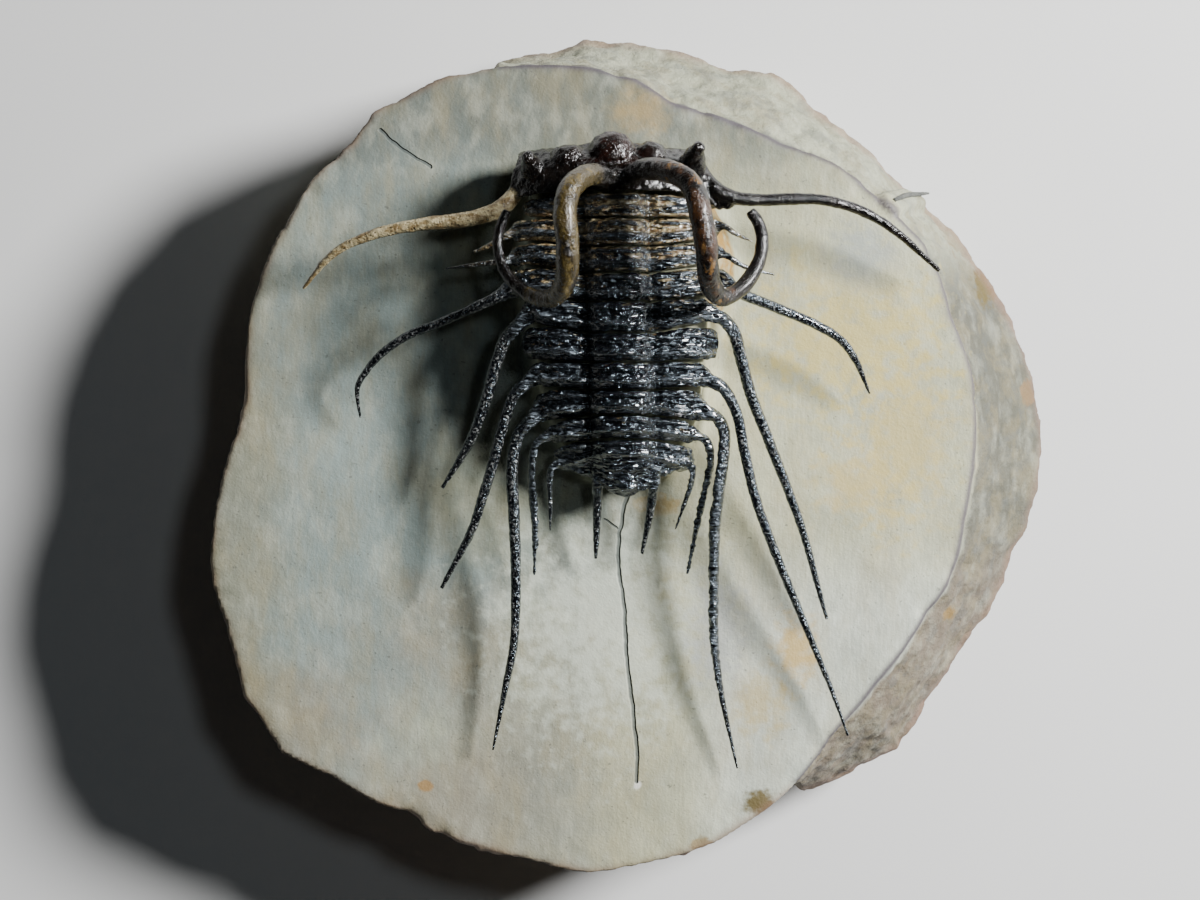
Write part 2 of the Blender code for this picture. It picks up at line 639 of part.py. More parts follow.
# Head
HORN_LEFT = [
    (-3.0, 36.2, 46.4, 1.3), (-4.6, 36.7, 49.6, 1.45), (-6.5, 36.5, 52.4, 1.55),
    (-8.3, 35.0, 55.0, 1.65), (-9.2, 32.8, 56.6, 1.65), (-9.3, 30.2, 57.1, 1.65),
    (-9.0, 27.4, 57.0, 1.65), (-9.0, 24.8, 56.3, 1.65), (-9.3, 22.4, 54.6, 1.55),
    (-10.6, 20.5, 52.0, 1.4), (-12.8, 20.2, 50.0, 1.2), (-15.3, 21.5, 48.2, 1.0),
    (-17.5, 24.0, 47.0, 0.88), (-18.5, 27.2, 46.3, 0.8), (-18.2, 30.0, 46.0, 0.75),
    (-17.2, 32.3, 46.2, 0.6),
]
HORN_RIGHT = [
    (-0.9, 37.0, 46.6, 1.4), (1.1, 37.5, 49.8, 1.5), (4.3, 37.0, 53.2, 1.6), (6.8, 35.6, 55.4, 1.6),
    (8.1, 33.0, 56.8, 1.6), (8.8, 29.8, 57.2, 1.6), (9.3, 26.8, 56.9, 1.6), (9.5, 24.2, 55.6, 1.55),
    (10.0, 21.9, 53.4, 1.5), (11.4, 20.4, 51.0, 1.35), (13.4, 21.0, 49.4, 1.2),
    (15.5, 23.1, 48.0, 1.1), (17.0, 26.4, 47.0, 1.0), (17.0, 29.8, 46.3, 0.95),
    (15.5, 32.3, 46.2, 0.8),
]
CHEEK_SPINE_LEFT = [
    (-15.6, 36.2, 40.8, 1.0), (-17.0, 34.0, 41.8, 1.2), (-19.4, 32.3, 42.5, 1.2),
    (-23.2, 31.3, 42.8, 1.1), (-28.9, 30.7, 42.2, 0.95), (-33.3, 30.0, 41.6, 0.85),
    (-36.5, 29.1, 40.8, 0.76), (-39.8, 27.8, 39.8, 0.66), (-42.3, 26.0, 38.8, 0.56),
    (-45.7, 22.2, 36.4, 0.32),
]
CHEEK_SPINE_RIGHT = [
    (8.2, 38.2, 41.4, 1.3), (10.0, 36.3, 42.4, 1.25), (12.0, 34.8, 42.9, 1.15), (14.6, 34.1, 42.8, 0.98),
    (18.3, 34.0, 42.4, 0.88), (24.6, 34.2, 41.8, 0.82), (28.8, 33.4, 41.0, 0.77),
    (32.5, 32.0, 40.0, 0.72), (36.5, 29.5, 38.6, 0.62), (42.3, 24.7, 35.6, 0.36),
]
EYE_STALKS = (
    [(7.4, 37.6, 42.0, 2.1), (7.9, 39.0, 44.6, 1.8), (8.3, 40.2, 46.4, 1.25), (8.5, 40.7, 47.2, 0.8)],
    [(-13.4, 37.0, 42.0, 1.9), (-14.0, 38.4, 44.2, 1.5), (-14.3, 39.2, 45.6, 1.0),
     (-14.4, 39.5, 46.2, 0.6)],
)
HEAD_LUMPS = (
    ((-3.1, 40.2, 44.2), (3.3, 3.0, 3.2)),
    ((-9.0, 39.4, 43.6), (2.6, 2.1, 2.7)),
    ((2.2, 39.8, 43.8), (2.3, 2.1, 2.6)),
    ((-2.6, 36.7, 46.8), (4.4, 1.5, 2.2)),
    ((-6.0, 40.0, 40.4), (2.6, 2.0, 2.4)),
    ((0.2, 40.0, 40.4), (2.4, 2.0, 2.4)),
    ((12.5, 33.7, 42.5), (1.3, 1.0, 0.9)),
)


def head_shell():
    bm = bmesh.new()
    outer = visor_sheet(bm, 0.0)
    inner = visor_sheet(bm, SHELL_DEPTH)
    fill_sheet(bm, outer)
    fill_sheet(bm, inner)
    join_edges(bm, sheet_edge(outer), sheet_edge(inner))
    return bm


def make_head(material):
    shell = make_solid("cephalon", head_shell(), material)
    pieces = [knob(f"lump_{n}", centre, radii, material) for n, (centre, radii) in enumerate(HEAD_LUMPS)]
    for number, route in enumerate((HORN_LEFT, HORN_RIGHT, CHEEK_SPINE_LEFT, CHEEK_SPINE_RIGHT)):
        bends = 2 if route in (HORN_LEFT, HORN_RIGHT) else 1
        bm = loft(tube_rings(smooth_route(route, lambda index, count=bends: count), 8))
        pieces.append(make_solid(f"limb_{number}", bm, material))
    for number, route in enumerate(EYE_STALKS):
        pieces.append(make_solid(f"eye_{number}", loft(tube_rings(route, 8)), material))
    combine(shell, pieces)
    hollow = make_solid("hollow", head_filling(SHELL_DEPTH, PEDESTAL_ROOT), material)
    return combine(shell, [hollow], "DIFFERENCE")


# Broken spine lying on the flared side of the stone
FRAGMENT = [
    (36.6, 35.0, 29.0, 0.32), (38.6, 36.0, 24.5, 0.44), (40.4, 36.5, 20.3, 0.4), (42.7, 37.0, 16.2, 0.2),
]


def make_fragment(material):
    return make_solid("spine_fragment", loft(tube_rings(FRAGMENT, 8)), material)


def main():
    for leftover in list(bpy.data.objects):
        bpy.data.objects.remove(leftover)
    stone = paint("limestone", (0.58, 0.55, 0.47), 0.85)
    shell = paint("black_shell", (0.025, 0.027, 0.033), 0.35)
    head = paint("brown_shell", (0.05, 0.034, 0.024), 0.35)
    make_matrix(stone)
    make_head(head)
    make_plates(shell)
    make_tail(shell)
    make_fragment(shell)


main()
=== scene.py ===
"""Looks of a spiny, two-horned trilobite on its piece of pale limestone.

The body is horn-dark mineralised shell, glossy and finely pimpled, with tan rock left in its
joints. The stone is ground on its face and broken on its sides. Lengths are millimetres until
a mesh is made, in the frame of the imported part.
"""

import math

import bmesh
import bpy
import numpy as np
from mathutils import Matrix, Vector

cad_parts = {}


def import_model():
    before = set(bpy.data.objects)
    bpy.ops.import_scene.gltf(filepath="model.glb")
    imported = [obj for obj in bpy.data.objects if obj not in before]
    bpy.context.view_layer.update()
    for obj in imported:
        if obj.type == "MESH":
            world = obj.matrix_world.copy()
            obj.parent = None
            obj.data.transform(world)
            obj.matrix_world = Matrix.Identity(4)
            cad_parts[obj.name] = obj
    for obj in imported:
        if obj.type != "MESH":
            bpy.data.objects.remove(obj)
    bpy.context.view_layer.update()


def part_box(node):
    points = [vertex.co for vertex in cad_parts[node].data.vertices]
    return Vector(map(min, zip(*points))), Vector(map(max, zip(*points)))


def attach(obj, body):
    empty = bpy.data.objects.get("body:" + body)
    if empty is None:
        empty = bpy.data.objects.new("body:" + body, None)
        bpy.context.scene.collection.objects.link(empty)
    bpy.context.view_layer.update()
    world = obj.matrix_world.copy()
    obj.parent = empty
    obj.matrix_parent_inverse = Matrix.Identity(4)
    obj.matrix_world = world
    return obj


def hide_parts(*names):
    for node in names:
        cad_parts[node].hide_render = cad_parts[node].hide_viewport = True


MM = 0.001
EDGE_MARGIN = 0.02
BODY = "root"

# Spacing of the fine meshes
PLATE_STEP = 0.24
PLATE_TOP_POINTS = 26
PLATE_UNDER_POINTS = 9
HEAD_VOXEL = 0.2
TAIL_VOXEL = 0.15
STONE_VOXEL = 0.57

# Camera straight above, at the photograph's angle
CAMERA_PLACE = (-4.7, -0.05, 480.0)
CAMERA_LENS = 96.4

# Stone
FACE_HEIGHT = 30.0
FACE_CROWN = 1.0
WAIST_HEIGHT = 12.0
BASE_SHARE = 0.9
STEEP_SHARE = 0.985
FLARE_FADES = (0.012, 0.05)
FACE_EDGE = [
    (48.4, 3.3), (47.9, 10.5), (45.0, 18.7), (43.3, 24.5), (41.1, 29.1), (35.6, 34.4), (29.3, 40.1),
    (20.9, 43.2), (13.5, 46.6), (5.7, 48.8), (0.5, 52.2), (-6.9, 54.0), (-16.5, 54.4), (-21.5, 54.0),
    (-27.4, 52.6), (-32.6, 49.7), (-37.0, 47.8), (-39.6, 43.6), (-42.9, 40.8), (-46.1, 37.6),
    (-48.7, 33.0), (-50.2, 30.6), (-52.4, 25.4), (-54.0, 21.1), (-54.7, 7.0), (-56.5, 1.6),
    (-58.7, -6.2), (-60.1, -15.6), (-59.4, -20.4), (-57.9, -23.9), (-55.9, -31.6), (-55.2, -35.0),
    (-52.9, -37.7), (-50.1, -42.8), (-46.3, -44.6), (-42.6, -46.2), (-36.6, -49.9), (-31.7, -51.7),
    (-28.5, -54.4), (-21.5, -56.3), (-14.5, -58.2), (-6.2, -60.0), (2.7, -58.3), (11.7, -55.5),
    (15.6, -53.0), (21.2, -48.9), (28.6, -39.8), (34.6, -32.8), (40.8, -24.1), (45.1, -18.0),
    (46.8, -9.9), (47.8, -4.2),
]
FLARED_EDGE = [
    (23.8, -50.4), (27.9, -49.8), (33.3, -47.1), (39.6, -44.3), (43.3, -37.8), (48.6, -29.5),
    (52.7, -23.2), (55.4, -16.1), (57.9, -11.7), (59.4, -5.9), (60.1, 1.4), (59.1, 10.0),
    (55.7, 19.5), (51.8, 26.3), (47.7, 31.8), (43.2, 36.1), (38.7, 39.7), (32.9, 45.7),
    (27.2, 50.3), (20.5, 55.1), (13.1, 56.6), (5.1, 58.8), (-1.1, 59.9), (-6.6, 59.9),
    (-12.7, 58.3), (-17.7, 57.5), (-22.2, 56.6),
]
PEDESTAL_ROWS = [
    (34.3, 1.4), (33.0, 0.5), (31.0, 0.0), (27.5, 0.0), (23.5, 0.0), (19.5, 0.0), (15.5, 0.0),
    (11.5, 0.0), (8.0, 0.1), (4.5, 0.2), (1.5, 0.4), (-1.0, 0.8), (-3.0, 1.4), (-4.6, 2.2),
]
PEDESTAL_INSET = 1.6
PEDESTAL_FOOT = 2.2
PEDESTAL_ROOT = 27.0
LIT_BULGE = 2.4
BED_GAP = 0.45

# Back of the animal
BACK_LEVEL = [
    (36.0, 45.0), (28.0, 45.8), (20.0, 46.2), (13.0, 45.6), (7.0, 43.9), (3.0, 41.9), (-1.0, 39.4),
    (-6.0, 37.0),
]
HALF_WIDTH = [
    (36.0, 12.0), (32.6, 12.5), (28.8, 14.5), (21.3, 14.5), (17.1, 13.8), (13.1, 13.2), (9.4, 13.0),
    (6.0, 12.4), (2.7, 11.6), (0.9, 10.4), (-2.5, 8.4), (-6.4, 6.0),
]
LOBE_HALF = 4.4
LOBE_RISE = 2.6
LOBE_TAPER = 0.035
FURROW_DEPTH = 0.5
SIDE_FALL = 0.24
PLATE_DEPTH = 1.7
PLATE_GAP = 0.3
REAR_WIDTH = 1.15
RING_STATIONS = (-0.78, -0.52, -0.32, -0.22, -0.11, 0.0, 0.11, 0.22, 0.32, 0.52, 0.78)
SPINE_BLEND = 3.4
ROOT_ROUNDNESS = 0.35
END_NARROWING = 0.93

# Head shield
HEAD_REAR = 34.9
HEAD_FRONT = 41.5
HEAD_TOP = 47.4
HEAD_EDGE = 34.0
HEAD_FALL = 5.2
CHEEK_LEFT = (14.4, 13.3, 1.2)
CHEEK_RIGHT = (14.6, 12.3, 2.5)
CHEEK_CURVE = 5
BROW_QUICKNESS = 1.7
FRONT_ROUNDING = 0.7
FRONT_STEEPNESS = 0.6
TOP_FULLNESS = 0.5
FRONT_CURVE = 5
SHELL_DEPTH = 1.9


# Measures shared with the part
def smooth_share(share):
    share = np.clip(share, 0.0, 1.0)
    return share * share * (3.0 - 2.0 * share)


def between(low, high, share):
    return low + (high - low) * share


def read_profile(profile, y):
    """Value of a head-to-tail profile at y, which falls along the list."""
    rows = np.array(profile[::-1])
    return np.interp(y, rows[:, 0], rows[:, 1])


def axis_x(y):
    return -1.3 - 0.036 * (y + 5.0)


def back_height(x, y):
    """Height of the back: a raised middle lobe, and level side lobes that bend down outside."""
    across = np.abs(x - axis_x(y))
    half = read_profile(HALF_WIDTH, y)
    rise = LOBE_RISE - LOBE_TAPER * np.maximum(0.0, 15.0 - y)
    lobe = rise * np.sqrt(np.maximum(0.0, 1.0 - (across / LOBE_HALF) ** 2))
    furrow = FURROW_DEPTH * np.maximum(0.0, 1.0 - np.abs(across - LOBE_HALF) / 1.2)
    fall = SIDE_FALL * half * np.maximum(0.0, across / half - 0.45) ** 2 / 0.3
    return read_profile(BACK_LEVEL, y) + lobe - furrow - fall


def cheek_sizes(across):
    """Half width at the neck, half width in front and rearward sweep, on the side that is asked for."""
    return [np.where(across < 0, left, right) for left, right in zip(CHEEK_LEFT, CHEEK_RIGHT)]


def neck_y(x):
    across = x - axis_x(HEAD_REAR)
    cheek, _, sweep = cheek_sizes(across)
    return HEAD_REAR - sweep * (np.abs(across) / cheek) ** CHEEK_CURVE


def ridge_y(plate, x):
    across = np.abs(x - axis_x(plate["y"])) / read_profile(HALF_WIDTH, plate["y"])
    return plate["y"] + plate["sweep"] * smooth_share((across - 0.25) / 0.6)


def front_width(plate, ahead, x):
    limit = ridge_y(ahead, x) - REAR_WIDTH if ahead else neck_y(x)
    return limit - PLATE_GAP - ridge_y(plate, x)


def visor_point(across, down, inset):
    """Point of the head shield. Across runs -1 to 1, and down runs 0 at the neck to 1 in front."""
    reach = np.abs(across)
    cheek, brow, sweep = cheek_sizes(across)
    half = between(cheek, brow, smooth_share(BROW_QUICKNESS * down)) - inset
    rear = HEAD_REAR - sweep * reach**CHEEK_CURVE + 0.3 * inset
    front = HEAD_FRONT - FRONT_ROUNDING * reach**FRONT_CURVE - inset
    top = HEAD_TOP - HEAD_FALL * reach**2.2 - inset
    edge = HEAD_EDGE + 1.2 * reach**2
    turn = down * math.pi / 2
    return np.stack([
        axis_x(HEAD_REAR) + across * half,
        between(rear, front, np.sin(turn) ** FRONT_STEEPNESS),
        between(edge, top, np.maximum(np.cos(turn), 0.0) ** TOP_FULLNESS),
    ], axis=-1)


# Unevenness
def lattice(cells, seed):
    """One settled number from 0 to 1 for each cell of a lattice."""
    key = (cells @ np.array([73856093, 19349663, 83492791]) + seed * 40503) & 0xFFFFFFFF
    key = key.astype(np.uint64)
    for shift, factor in ((16, 0x7FEB352D), (15, 0x846CA68B)):
        key = ((key ^ (key >> np.uint64(shift))) * np.uint64(factor)) & np.uint64(0xFFFFFFFF)
    return (key >> np.uint64(8)).astype(float) / 2**24


def lumps(points, size, seed):
    """Soft unevenness from -1 to 1, with lumps of the size given, in one number or three."""
    place = points / np.array(size, float)
    base = np.floor(place).astype(np.int64)
    part = smooth_share(place - base)
    total = np.zeros(len(points))
    for corner in range(8):
        step = np.array([corner & 1, corner >> 1 & 1, corner >> 2 & 1])
        weight = np.prod(np.where(step, part, 1.0 - part), axis=1)
        total += weight * lattice(base + step, seed)
    return 2.0 * total - 1.0


def rough(points, size, seed, layers=3):
    """Lumps with finer lumps on them."""
    size = np.array(size, float)
    total = sum(lumps(points, size * 0.5**n, seed + n) * 0.55**n for n in range(layers))
    return total / sum(0.55**n for n in range(layers))


def pimples(points, spacing, seed):
    """Round grains, 1 at the top of each and 0 between them."""
    place = points / spacing
    base = np.floor(place).astype(np.int64)
    nearest = np.full(len(points), 9.0)
    for step in np.ndindex(3, 3, 3):
        cell = base + np.array(step) - 1
        centre = cell + np.stack([lattice(cell, seed + axis) for axis in range(3)], axis=1)
        nearest = np.minimum(nearest, np.linalg.norm(place - centre, axis=1))
    return np.clip(1.0 - nearest / 0.75, 0.0, 1.0)


# Meshes
def loft(rings):
    """Corners and faces of a closed skin through rings of equally many points."""
    rows, sides = rings.shape[:2]
    corners = rings.reshape(-1, 3)
    start = (np.arange(rows - 1)[:, None] * sides + np.arange(sides)).ravel()
    turn = (np.arange(rows - 1)[:, None] * sides + (np.arange(sides) + 1) % sides).ravel()
    faces = np.stack([start, turn, turn + sides, start + sides], axis=1).tolist()
    for first in (0, (rows - 1) * sides):
        middle = corners[first:first + sides].mean(axis=0)
        corners = np.vstack([corners, middle])
        faces += [[first + k, first + (k + 1) % sides, len(corners) - 1] for k in range(sides)]
    return corners, faces


def closed_sheet(upper, lower):
    """Corners and faces of a plate between two grids of points."""
    rows, columns = upper.shape[:2]
    corners = np.vstack([upper.reshape(-1, 3), lower.reshape(-1, 3)])
    below = rows * columns
    grid = np.arange(below).reshape(rows, columns)
    tile = np.stack([grid[:-1, :-1], grid[:-1, 1:], grid[1:, 1:], grid[1:, :-1]], axis=-1)
    tile = tile.reshape(-1, 4)
    edge = list(grid[0]) + list(grid[1:-1, -1]) + list(grid[-1][::-1]) + list(grid[1:-1, 0][::-1])
    faces = tile.tolist() + (tile + below).tolist()
    for k, corner in enumerate(edge):
        following = edge[(k + 1) % len(edge)]
        faces.append([corner, following, following + below, corner + below])
    return corners, faces


def egg(centre, radii, detail=3):
    bm = bmesh.new()
    bmesh.ops.create_icosphere(bm, subdivisions=detail, radius=1.0)
    corners = np.array([vert.co for vert in bm.verts]) * np.array(radii) + np.array(centre)
    faces = [[vert.index for vert in face.verts] for face in bm.faces]
    bm.free()
    return corners, faces


def face_out(solid):
    """A closed skin with its faces turned outwards."""
    corners, faces = solid
    bm = bmesh.new()
    verts = [bm.verts.new(corner) for corner in corners]
    for face in faces:
        bm.faces.new([verts[index] for index in face])
    bm.verts.index_update()
    bmesh.ops.recalc_face_normals(bm, faces=bm.faces)
    if bm.calc_volume(signed=True) < 0.0:
        bmesh.ops.reverse_faces(bm, faces=bm.faces)
    faces = [[vert.index for vert in face.verts] for face in bm.faces]
    bm.free()
    return corners, faces


def join_solids(solids):
    """Several closed skins as one list of corners and faces."""
    corners = np.vstack([part[0] for part in solids])
    faces = []
    offset = 0
    for part_corners, part_faces in map(face_out, solids):
        faces += [[index + offset for index in face] for face in part_faces]
        offset += len(part_corners)
    return corners, faces


def make_piece(name, *solids):
    """An object from closed skins, each with its faces turned outwards."""
    corners, faces = join_solids(solids)
    mesh = bpy.data.meshes.new(name)
    mesh.from_pydata((corners * MM).tolist(), [], faces)
    mesh.shade_smooth()
    piece = bpy.data.objects.new(name, mesh)
    bpy.context.scene.collection.objects.link(piece)
    return piece


def apply_modifiers(piece):
    evaluated = piece.evaluated_get(bpy.context.evaluated_depsgraph_get())
    settled = bpy.data.meshes.new_from_object(evaluated)
    piece.modifiers.clear()
    piece.data = settled
    settled.shade_smooth()


def fuse(piece, voxel, smoothing):
    """Grows overlapping skins together into one, with even small faces."""
    remesh = piece.modifiers.new("fuse", "REMESH")
    remesh.mode = "VOXEL"
    remesh.voxel_size = voxel * MM
    soften = piece.modifiers.new("soften", "SMOOTH")
    soften.factor = 0.5
    soften.iterations = smoothing
    apply_modifiers(piece)


def corners_of(piece):
    """Places and outward directions of a piece's corners, in millimetres."""
    count = len(piece.data.vertices)
    places, directions = np.empty(count * 3), np.empty(count * 3)
    piece.data.vertices.foreach_get("co", places)
    piece.data.vertex_normals.foreach_get("vector", directions)
    return places.reshape(-1, 3) / MM, directions.reshape(-1, 3)


def settle_corners(piece, corners, node):
    """Writes the corners back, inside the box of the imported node."""
    low, high = (np.array(corner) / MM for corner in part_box(node))
    margin = EDGE_MARGIN
    corners = np.clip(corners, low + (0.0 if low[2] < margin else margin), high - margin)
    piece.data.vertices.foreach_set("co", (corners * MM).ravel())
    piece.data.update()


def write_zone(piece, name, values):
    """A share from 0 to 1 at each corner, which the materials read."""
    zone = piece.data.attributes.new(name, "FLOAT", "POINT")
    zone.data.foreach_set("value", np.clip(values, 0.0, 1.0).astype(np.float32))


def dress(piece, material, slot, *nodes):
    piece.data.materials.clear()
    piece.data.materials.append(material)
    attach(piece, BODY)
    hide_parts(*nodes)
    return piece


# Routes
def smooth_curve(points, spacing):
    """Points along the smooth curve through a list, and the place of each in the list."""
    points = np.array(points, float)
    padded = np.vstack([points[0], points, points[-1]])
    pieces, places = [], []
    for index in range(len(points) - 1):
        a, b, c, d = padded[index:index + 4]
        count = max(2, int(np.ceil(np.linalg.norm((c - b)[:3]) / spacing)))
        share = np.arange(count)[:, None] / count
        pieces.append(0.5 * (2 * b + (c - a) * share + (2 * a - 5 * b + 4 * c - d) * share**2
                             + (3 * b - a - 3 * c + d) * share**3))
        places.append(index + share[:, 0])
    return np.vstack(pieces + [points[-1:]]), np.concatenate(places + [[len(points) - 1.0]])


def tube(points, spacing=0.3, sides=20):
    """A round limb along listed points of x, y, z and radius."""
    route, _ = smooth_curve(points, spacing)
    centres, radii = route[:, :3], np.maximum(route[:, 3], 0.12)
    along = np.gradient(centres, axis=0)
    along /= np.linalg.norm(along, axis=1)[:, None]
    seed = np.array([0.0, 0.0, 1.0])
    rings = []
    turn = 2 * np.pi * np.arange(sides) / sides
    for centre, aim, radius in zip(centres, along, radii):
        across = seed - (seed @ aim) * aim
        across /= np.linalg.norm(across)
        seed = across
        other = np.cross(aim, across)
        rings.append(centre + radius * (np.cos(turn)[:, None] * across + np.sin(turn)[:, None] * other))
    return loft(np.array(rings))


def nearness(points, route, reach):
    """1 on a route and 0 beyond its reach, for routes of x, y and z."""
    line, _ = smooth_curve(np.array(route, float)[:, :3], 0.8)
    nearest = np.full(len(points), 1e9)
    for spot in line:
        nearest = np.minimum(nearest, np.linalg.norm(points - spot, axis=1))
    return 1.0 - smooth_share((nearest - reach) / 0.8)


# Plates of the middle body
PLATES = [
    {"y": 32.6, "sweep": 0.2, "left": [], "right": []},
    {"y": 28.8, "sweep": 0.8,
     "left": [(-17.0, 29.2, 42.8, 0.5), (-19.8, 27.8, 42.4, 0.4), (-22.0, 26.9, 41.8, 0.2)],
     "right": [(11.9, 30.4, 42.6, 0.5), (13.7, 29.5, 42.0, 0.4), (16.1, 28.4, 41.0, 0.15)]},
    {"y": 25.2, "sweep": 1.1,
     "left": [(-17.0, 25.8, 43.0, 0.5), (-20.1, 25.4, 42.4, 0.4), (-25.9, 24.7, 40.8, 0.15)],
     "right": [(11.9, 26.6, 43.0, 0.5), (14.9, 25.0, 42.0, 0.4), (19.2, 23.9, 40.4, 0.15)]},
    {"y": 21.3, "sweep": 0.9,
     "left": [(-16.8, 21.6, 42.6, 1.0), (-21.1, 19.7, 41.8, 0.75), (-26.4, 17.4, 40.8, 0.68),
              (-30.9, 15.7, 39.6, 0.64), (-34.5, 13.4, 38.2, 0.6), (-36.8, 11.0, 36.8, 0.52),
              (-38.3, 8.4, 35.4, 0.42), (-38.0, 4.4, 33.6, 0.2)],
     "right": [(12.1, 22.4, 42.8, 1.0), (15.6, 20.8, 42.0, 0.8), (20.0, 19.1, 41.2, 0.75),
               (24.7, 17.2, 40.0, 0.71), (28.3, 15.1, 38.6, 0.65), (30.6, 12.2, 37.0, 0.54),
               (32.7, 7.7, 34.4, 0.2)]},
    {"y": 17.1, "sweep": 1.2,
     "left": [(-13.7, 18.6, 43.8, 1.05), (-17.2, 15.7, 42.6, 0.95), (-18.9, 11.7, 41.4, 0.9),
              (-20.3, 6.9, 40.2, 0.85), (-22.6, 1.0, 38.6, 0.7), (-26.5, -5.3, 36.2, 0.3)],
     "right": [(9.2, 18.5, 44.2, 1.1), (11.6, 18.0, 43.4, 1.0), (13.5, 16.0, 42.6, 0.95),
               (14.6, 12.2, 41.6, 0.9), (16.0, 7.3, 40.6, 0.85), (18.3, 1.6, 39.4, 0.8),
               (22.9, -10.1, 36.8, 0.65), (25.6, -19.4, 34.8, 0.45), (26.8, -23.6, 34.0, 0.25)]},
    {"y": 13.1, "sweep": 0.3, "left": [], "right": []},
    {"y": 9.4, "sweep": 0.4,
     "left": [(-13.2, 9.9, 42.6, 1.0), (-16.0, 8.0, 41.9, 0.85), (-17.7, 4.2, 41.0, 0.8),
              (-19.3, -1.6, 39.8, 0.78), (-20.8, -6.5, 38.6, 0.75), (-22.6, -11.6, 37.0, 0.65),
              (-26.7, -19.2, 34.5, 0.3)],
     "right": [(9.2, 9.7, 42.8, 1.0), (12.0, 8.5, 42.2, 0.85), (14.0, 4.8, 41.4, 0.8),
               (15.0, 0.1, 40.6, 0.78), (16.5, -6.2, 39.4, 0.75), (18.8, -12.6, 38.0, 0.7),
               (21.8, -19.9, 36.6, 0.62), (27.1, -32.5, 34.2, 0.42), (29.8, -39.8, 33.0, 0.2)]},
    {"y": 6.0, "sweep": -0.8,
     "left": [(-12.4, 5.0, 41.2, 1.0), (-15.0, 3.3, 40.5, 0.92), (-16.2, 1.2, 40.0, 0.9),
              (-16.8, -3.1, 39.2, 0.88), (-16.5, -9.7, 38.0, 0.85), (-16.3, -18.8, 36.6, 0.75),
              (-16.6, -26.6, 35.4, 0.65), (-17.9, -33.3, 34.2, 0.5), (-19.6, -41.8, 33.0, 0.2)],
     "right": [(8.6, 5.2, 41.5, 1.0), (11.1, 4.5, 40.7, 0.92), (12.2, 2.8, 40.2, 0.88),
               (12.3, -0.1, 39.6, 0.88), (11.8, -4.7, 38.8, 0.86), (11.1, -11.1, 37.8, 0.82),
               (11.0, -18.8, 36.6, 0.74), (11.1, -25.8, 35.4, 0.65), (12.0, -33.2, 34.4, 0.5),
               (14.4, -44.4, 32.8, 0.2)]},
    {"y": 2.7, "sweep": -0.7,
     "left": [(-11.2, 2.1, 39.8, 0.75), (-13.2, 1.2, 39.2, 0.6), (-14.0, -0.6, 38.8, 0.6),
              (-14.1, -4.7, 37.6, 0.6), (-13.7, -11.1, 36.2, 0.52), (-13.8, -17.5, 34.8, 0.22)],
     "right": [(8.0, 2.1, 40.0, 0.75), (9.8, 1.3, 39.2, 0.6), (10.5, -0.4, 38.8, 0.56),
               (10.3, -3.1, 38.0, 0.55), (9.2, -7.9, 36.8, 0.5), (7.4, -17.2, 34.6, 0.2)]},
]
TAIL = {"y": -0.5, "sweep": -1.3, "left": [], "right": []}
TAIL_EDGE = [
    (-9.6, -2.4), (-7.8, -3.3), (-5.4, -4.2), (-3.3, -5.8), (-1.1, -6.6), (0.8, -5.8), (2.9, -4.4),
    (4.8, -3.4), (6.3, -2.4),
]
TAIL_SPINES = (
    [(-5.2, -2.0, 38.4, 0.8), (-5.1, -4.4, 37.7, 0.8), (-5.1, -7.9, 36.3, 0.7),
     (-5.2, -12.0, 35.0, 0.55), (-5.3, -15.2, 34.2, 0.3)],
    [(3.0, -2.2, 38.5, 0.78), (2.7, -4.6, 37.8, 0.78), (2.2, -8.8, 36.1, 0.66),
     (1.1, -14.5, 34.2, 0.3)],
    [(-9.6, -1.3, 37.1, 0.7), (-11.1, -2.2, 37.1, 0.6), (-11.7, -3.9, 36.9, 0.5),
     (-11.6, -7.0, 36.3, 0.44), (-11.6, -11.3, 35.4, 0.2)],
    [(6.6, -1.3, 37.4, 0.7), (7.7, -2.0, 37.3, 0.6), (8.1, -3.1, 37.1, 0.5), (7.9, -4.6, 36.8, 0.46),
     (7.1, -7.1, 36.3, 0.4), (5.7, -11.1, 35.4, 0.2)],
)


def bell(distance, width):
    return np.exp(-((distance / width) ** 2))


def section_lift(reach, front, middle_share):
    """Height over a plate's section: main ridge, front ridge and a fine ridge by the rear edge."""
    lift = 0.98 * bell(reach + 0.12, 0.52)
    lift = lift + 0.5 * bell(reach - 0.72 * front, 0.38)
    lift = lift + 0.16 * bell(reach + 0.88 * REAR_WIDTH, 0.16)
    lift = lift + 0.16 * bell(reach - 0.42 * front, 0.16) * (1.0 - middle_share)
    return lift - 0.12


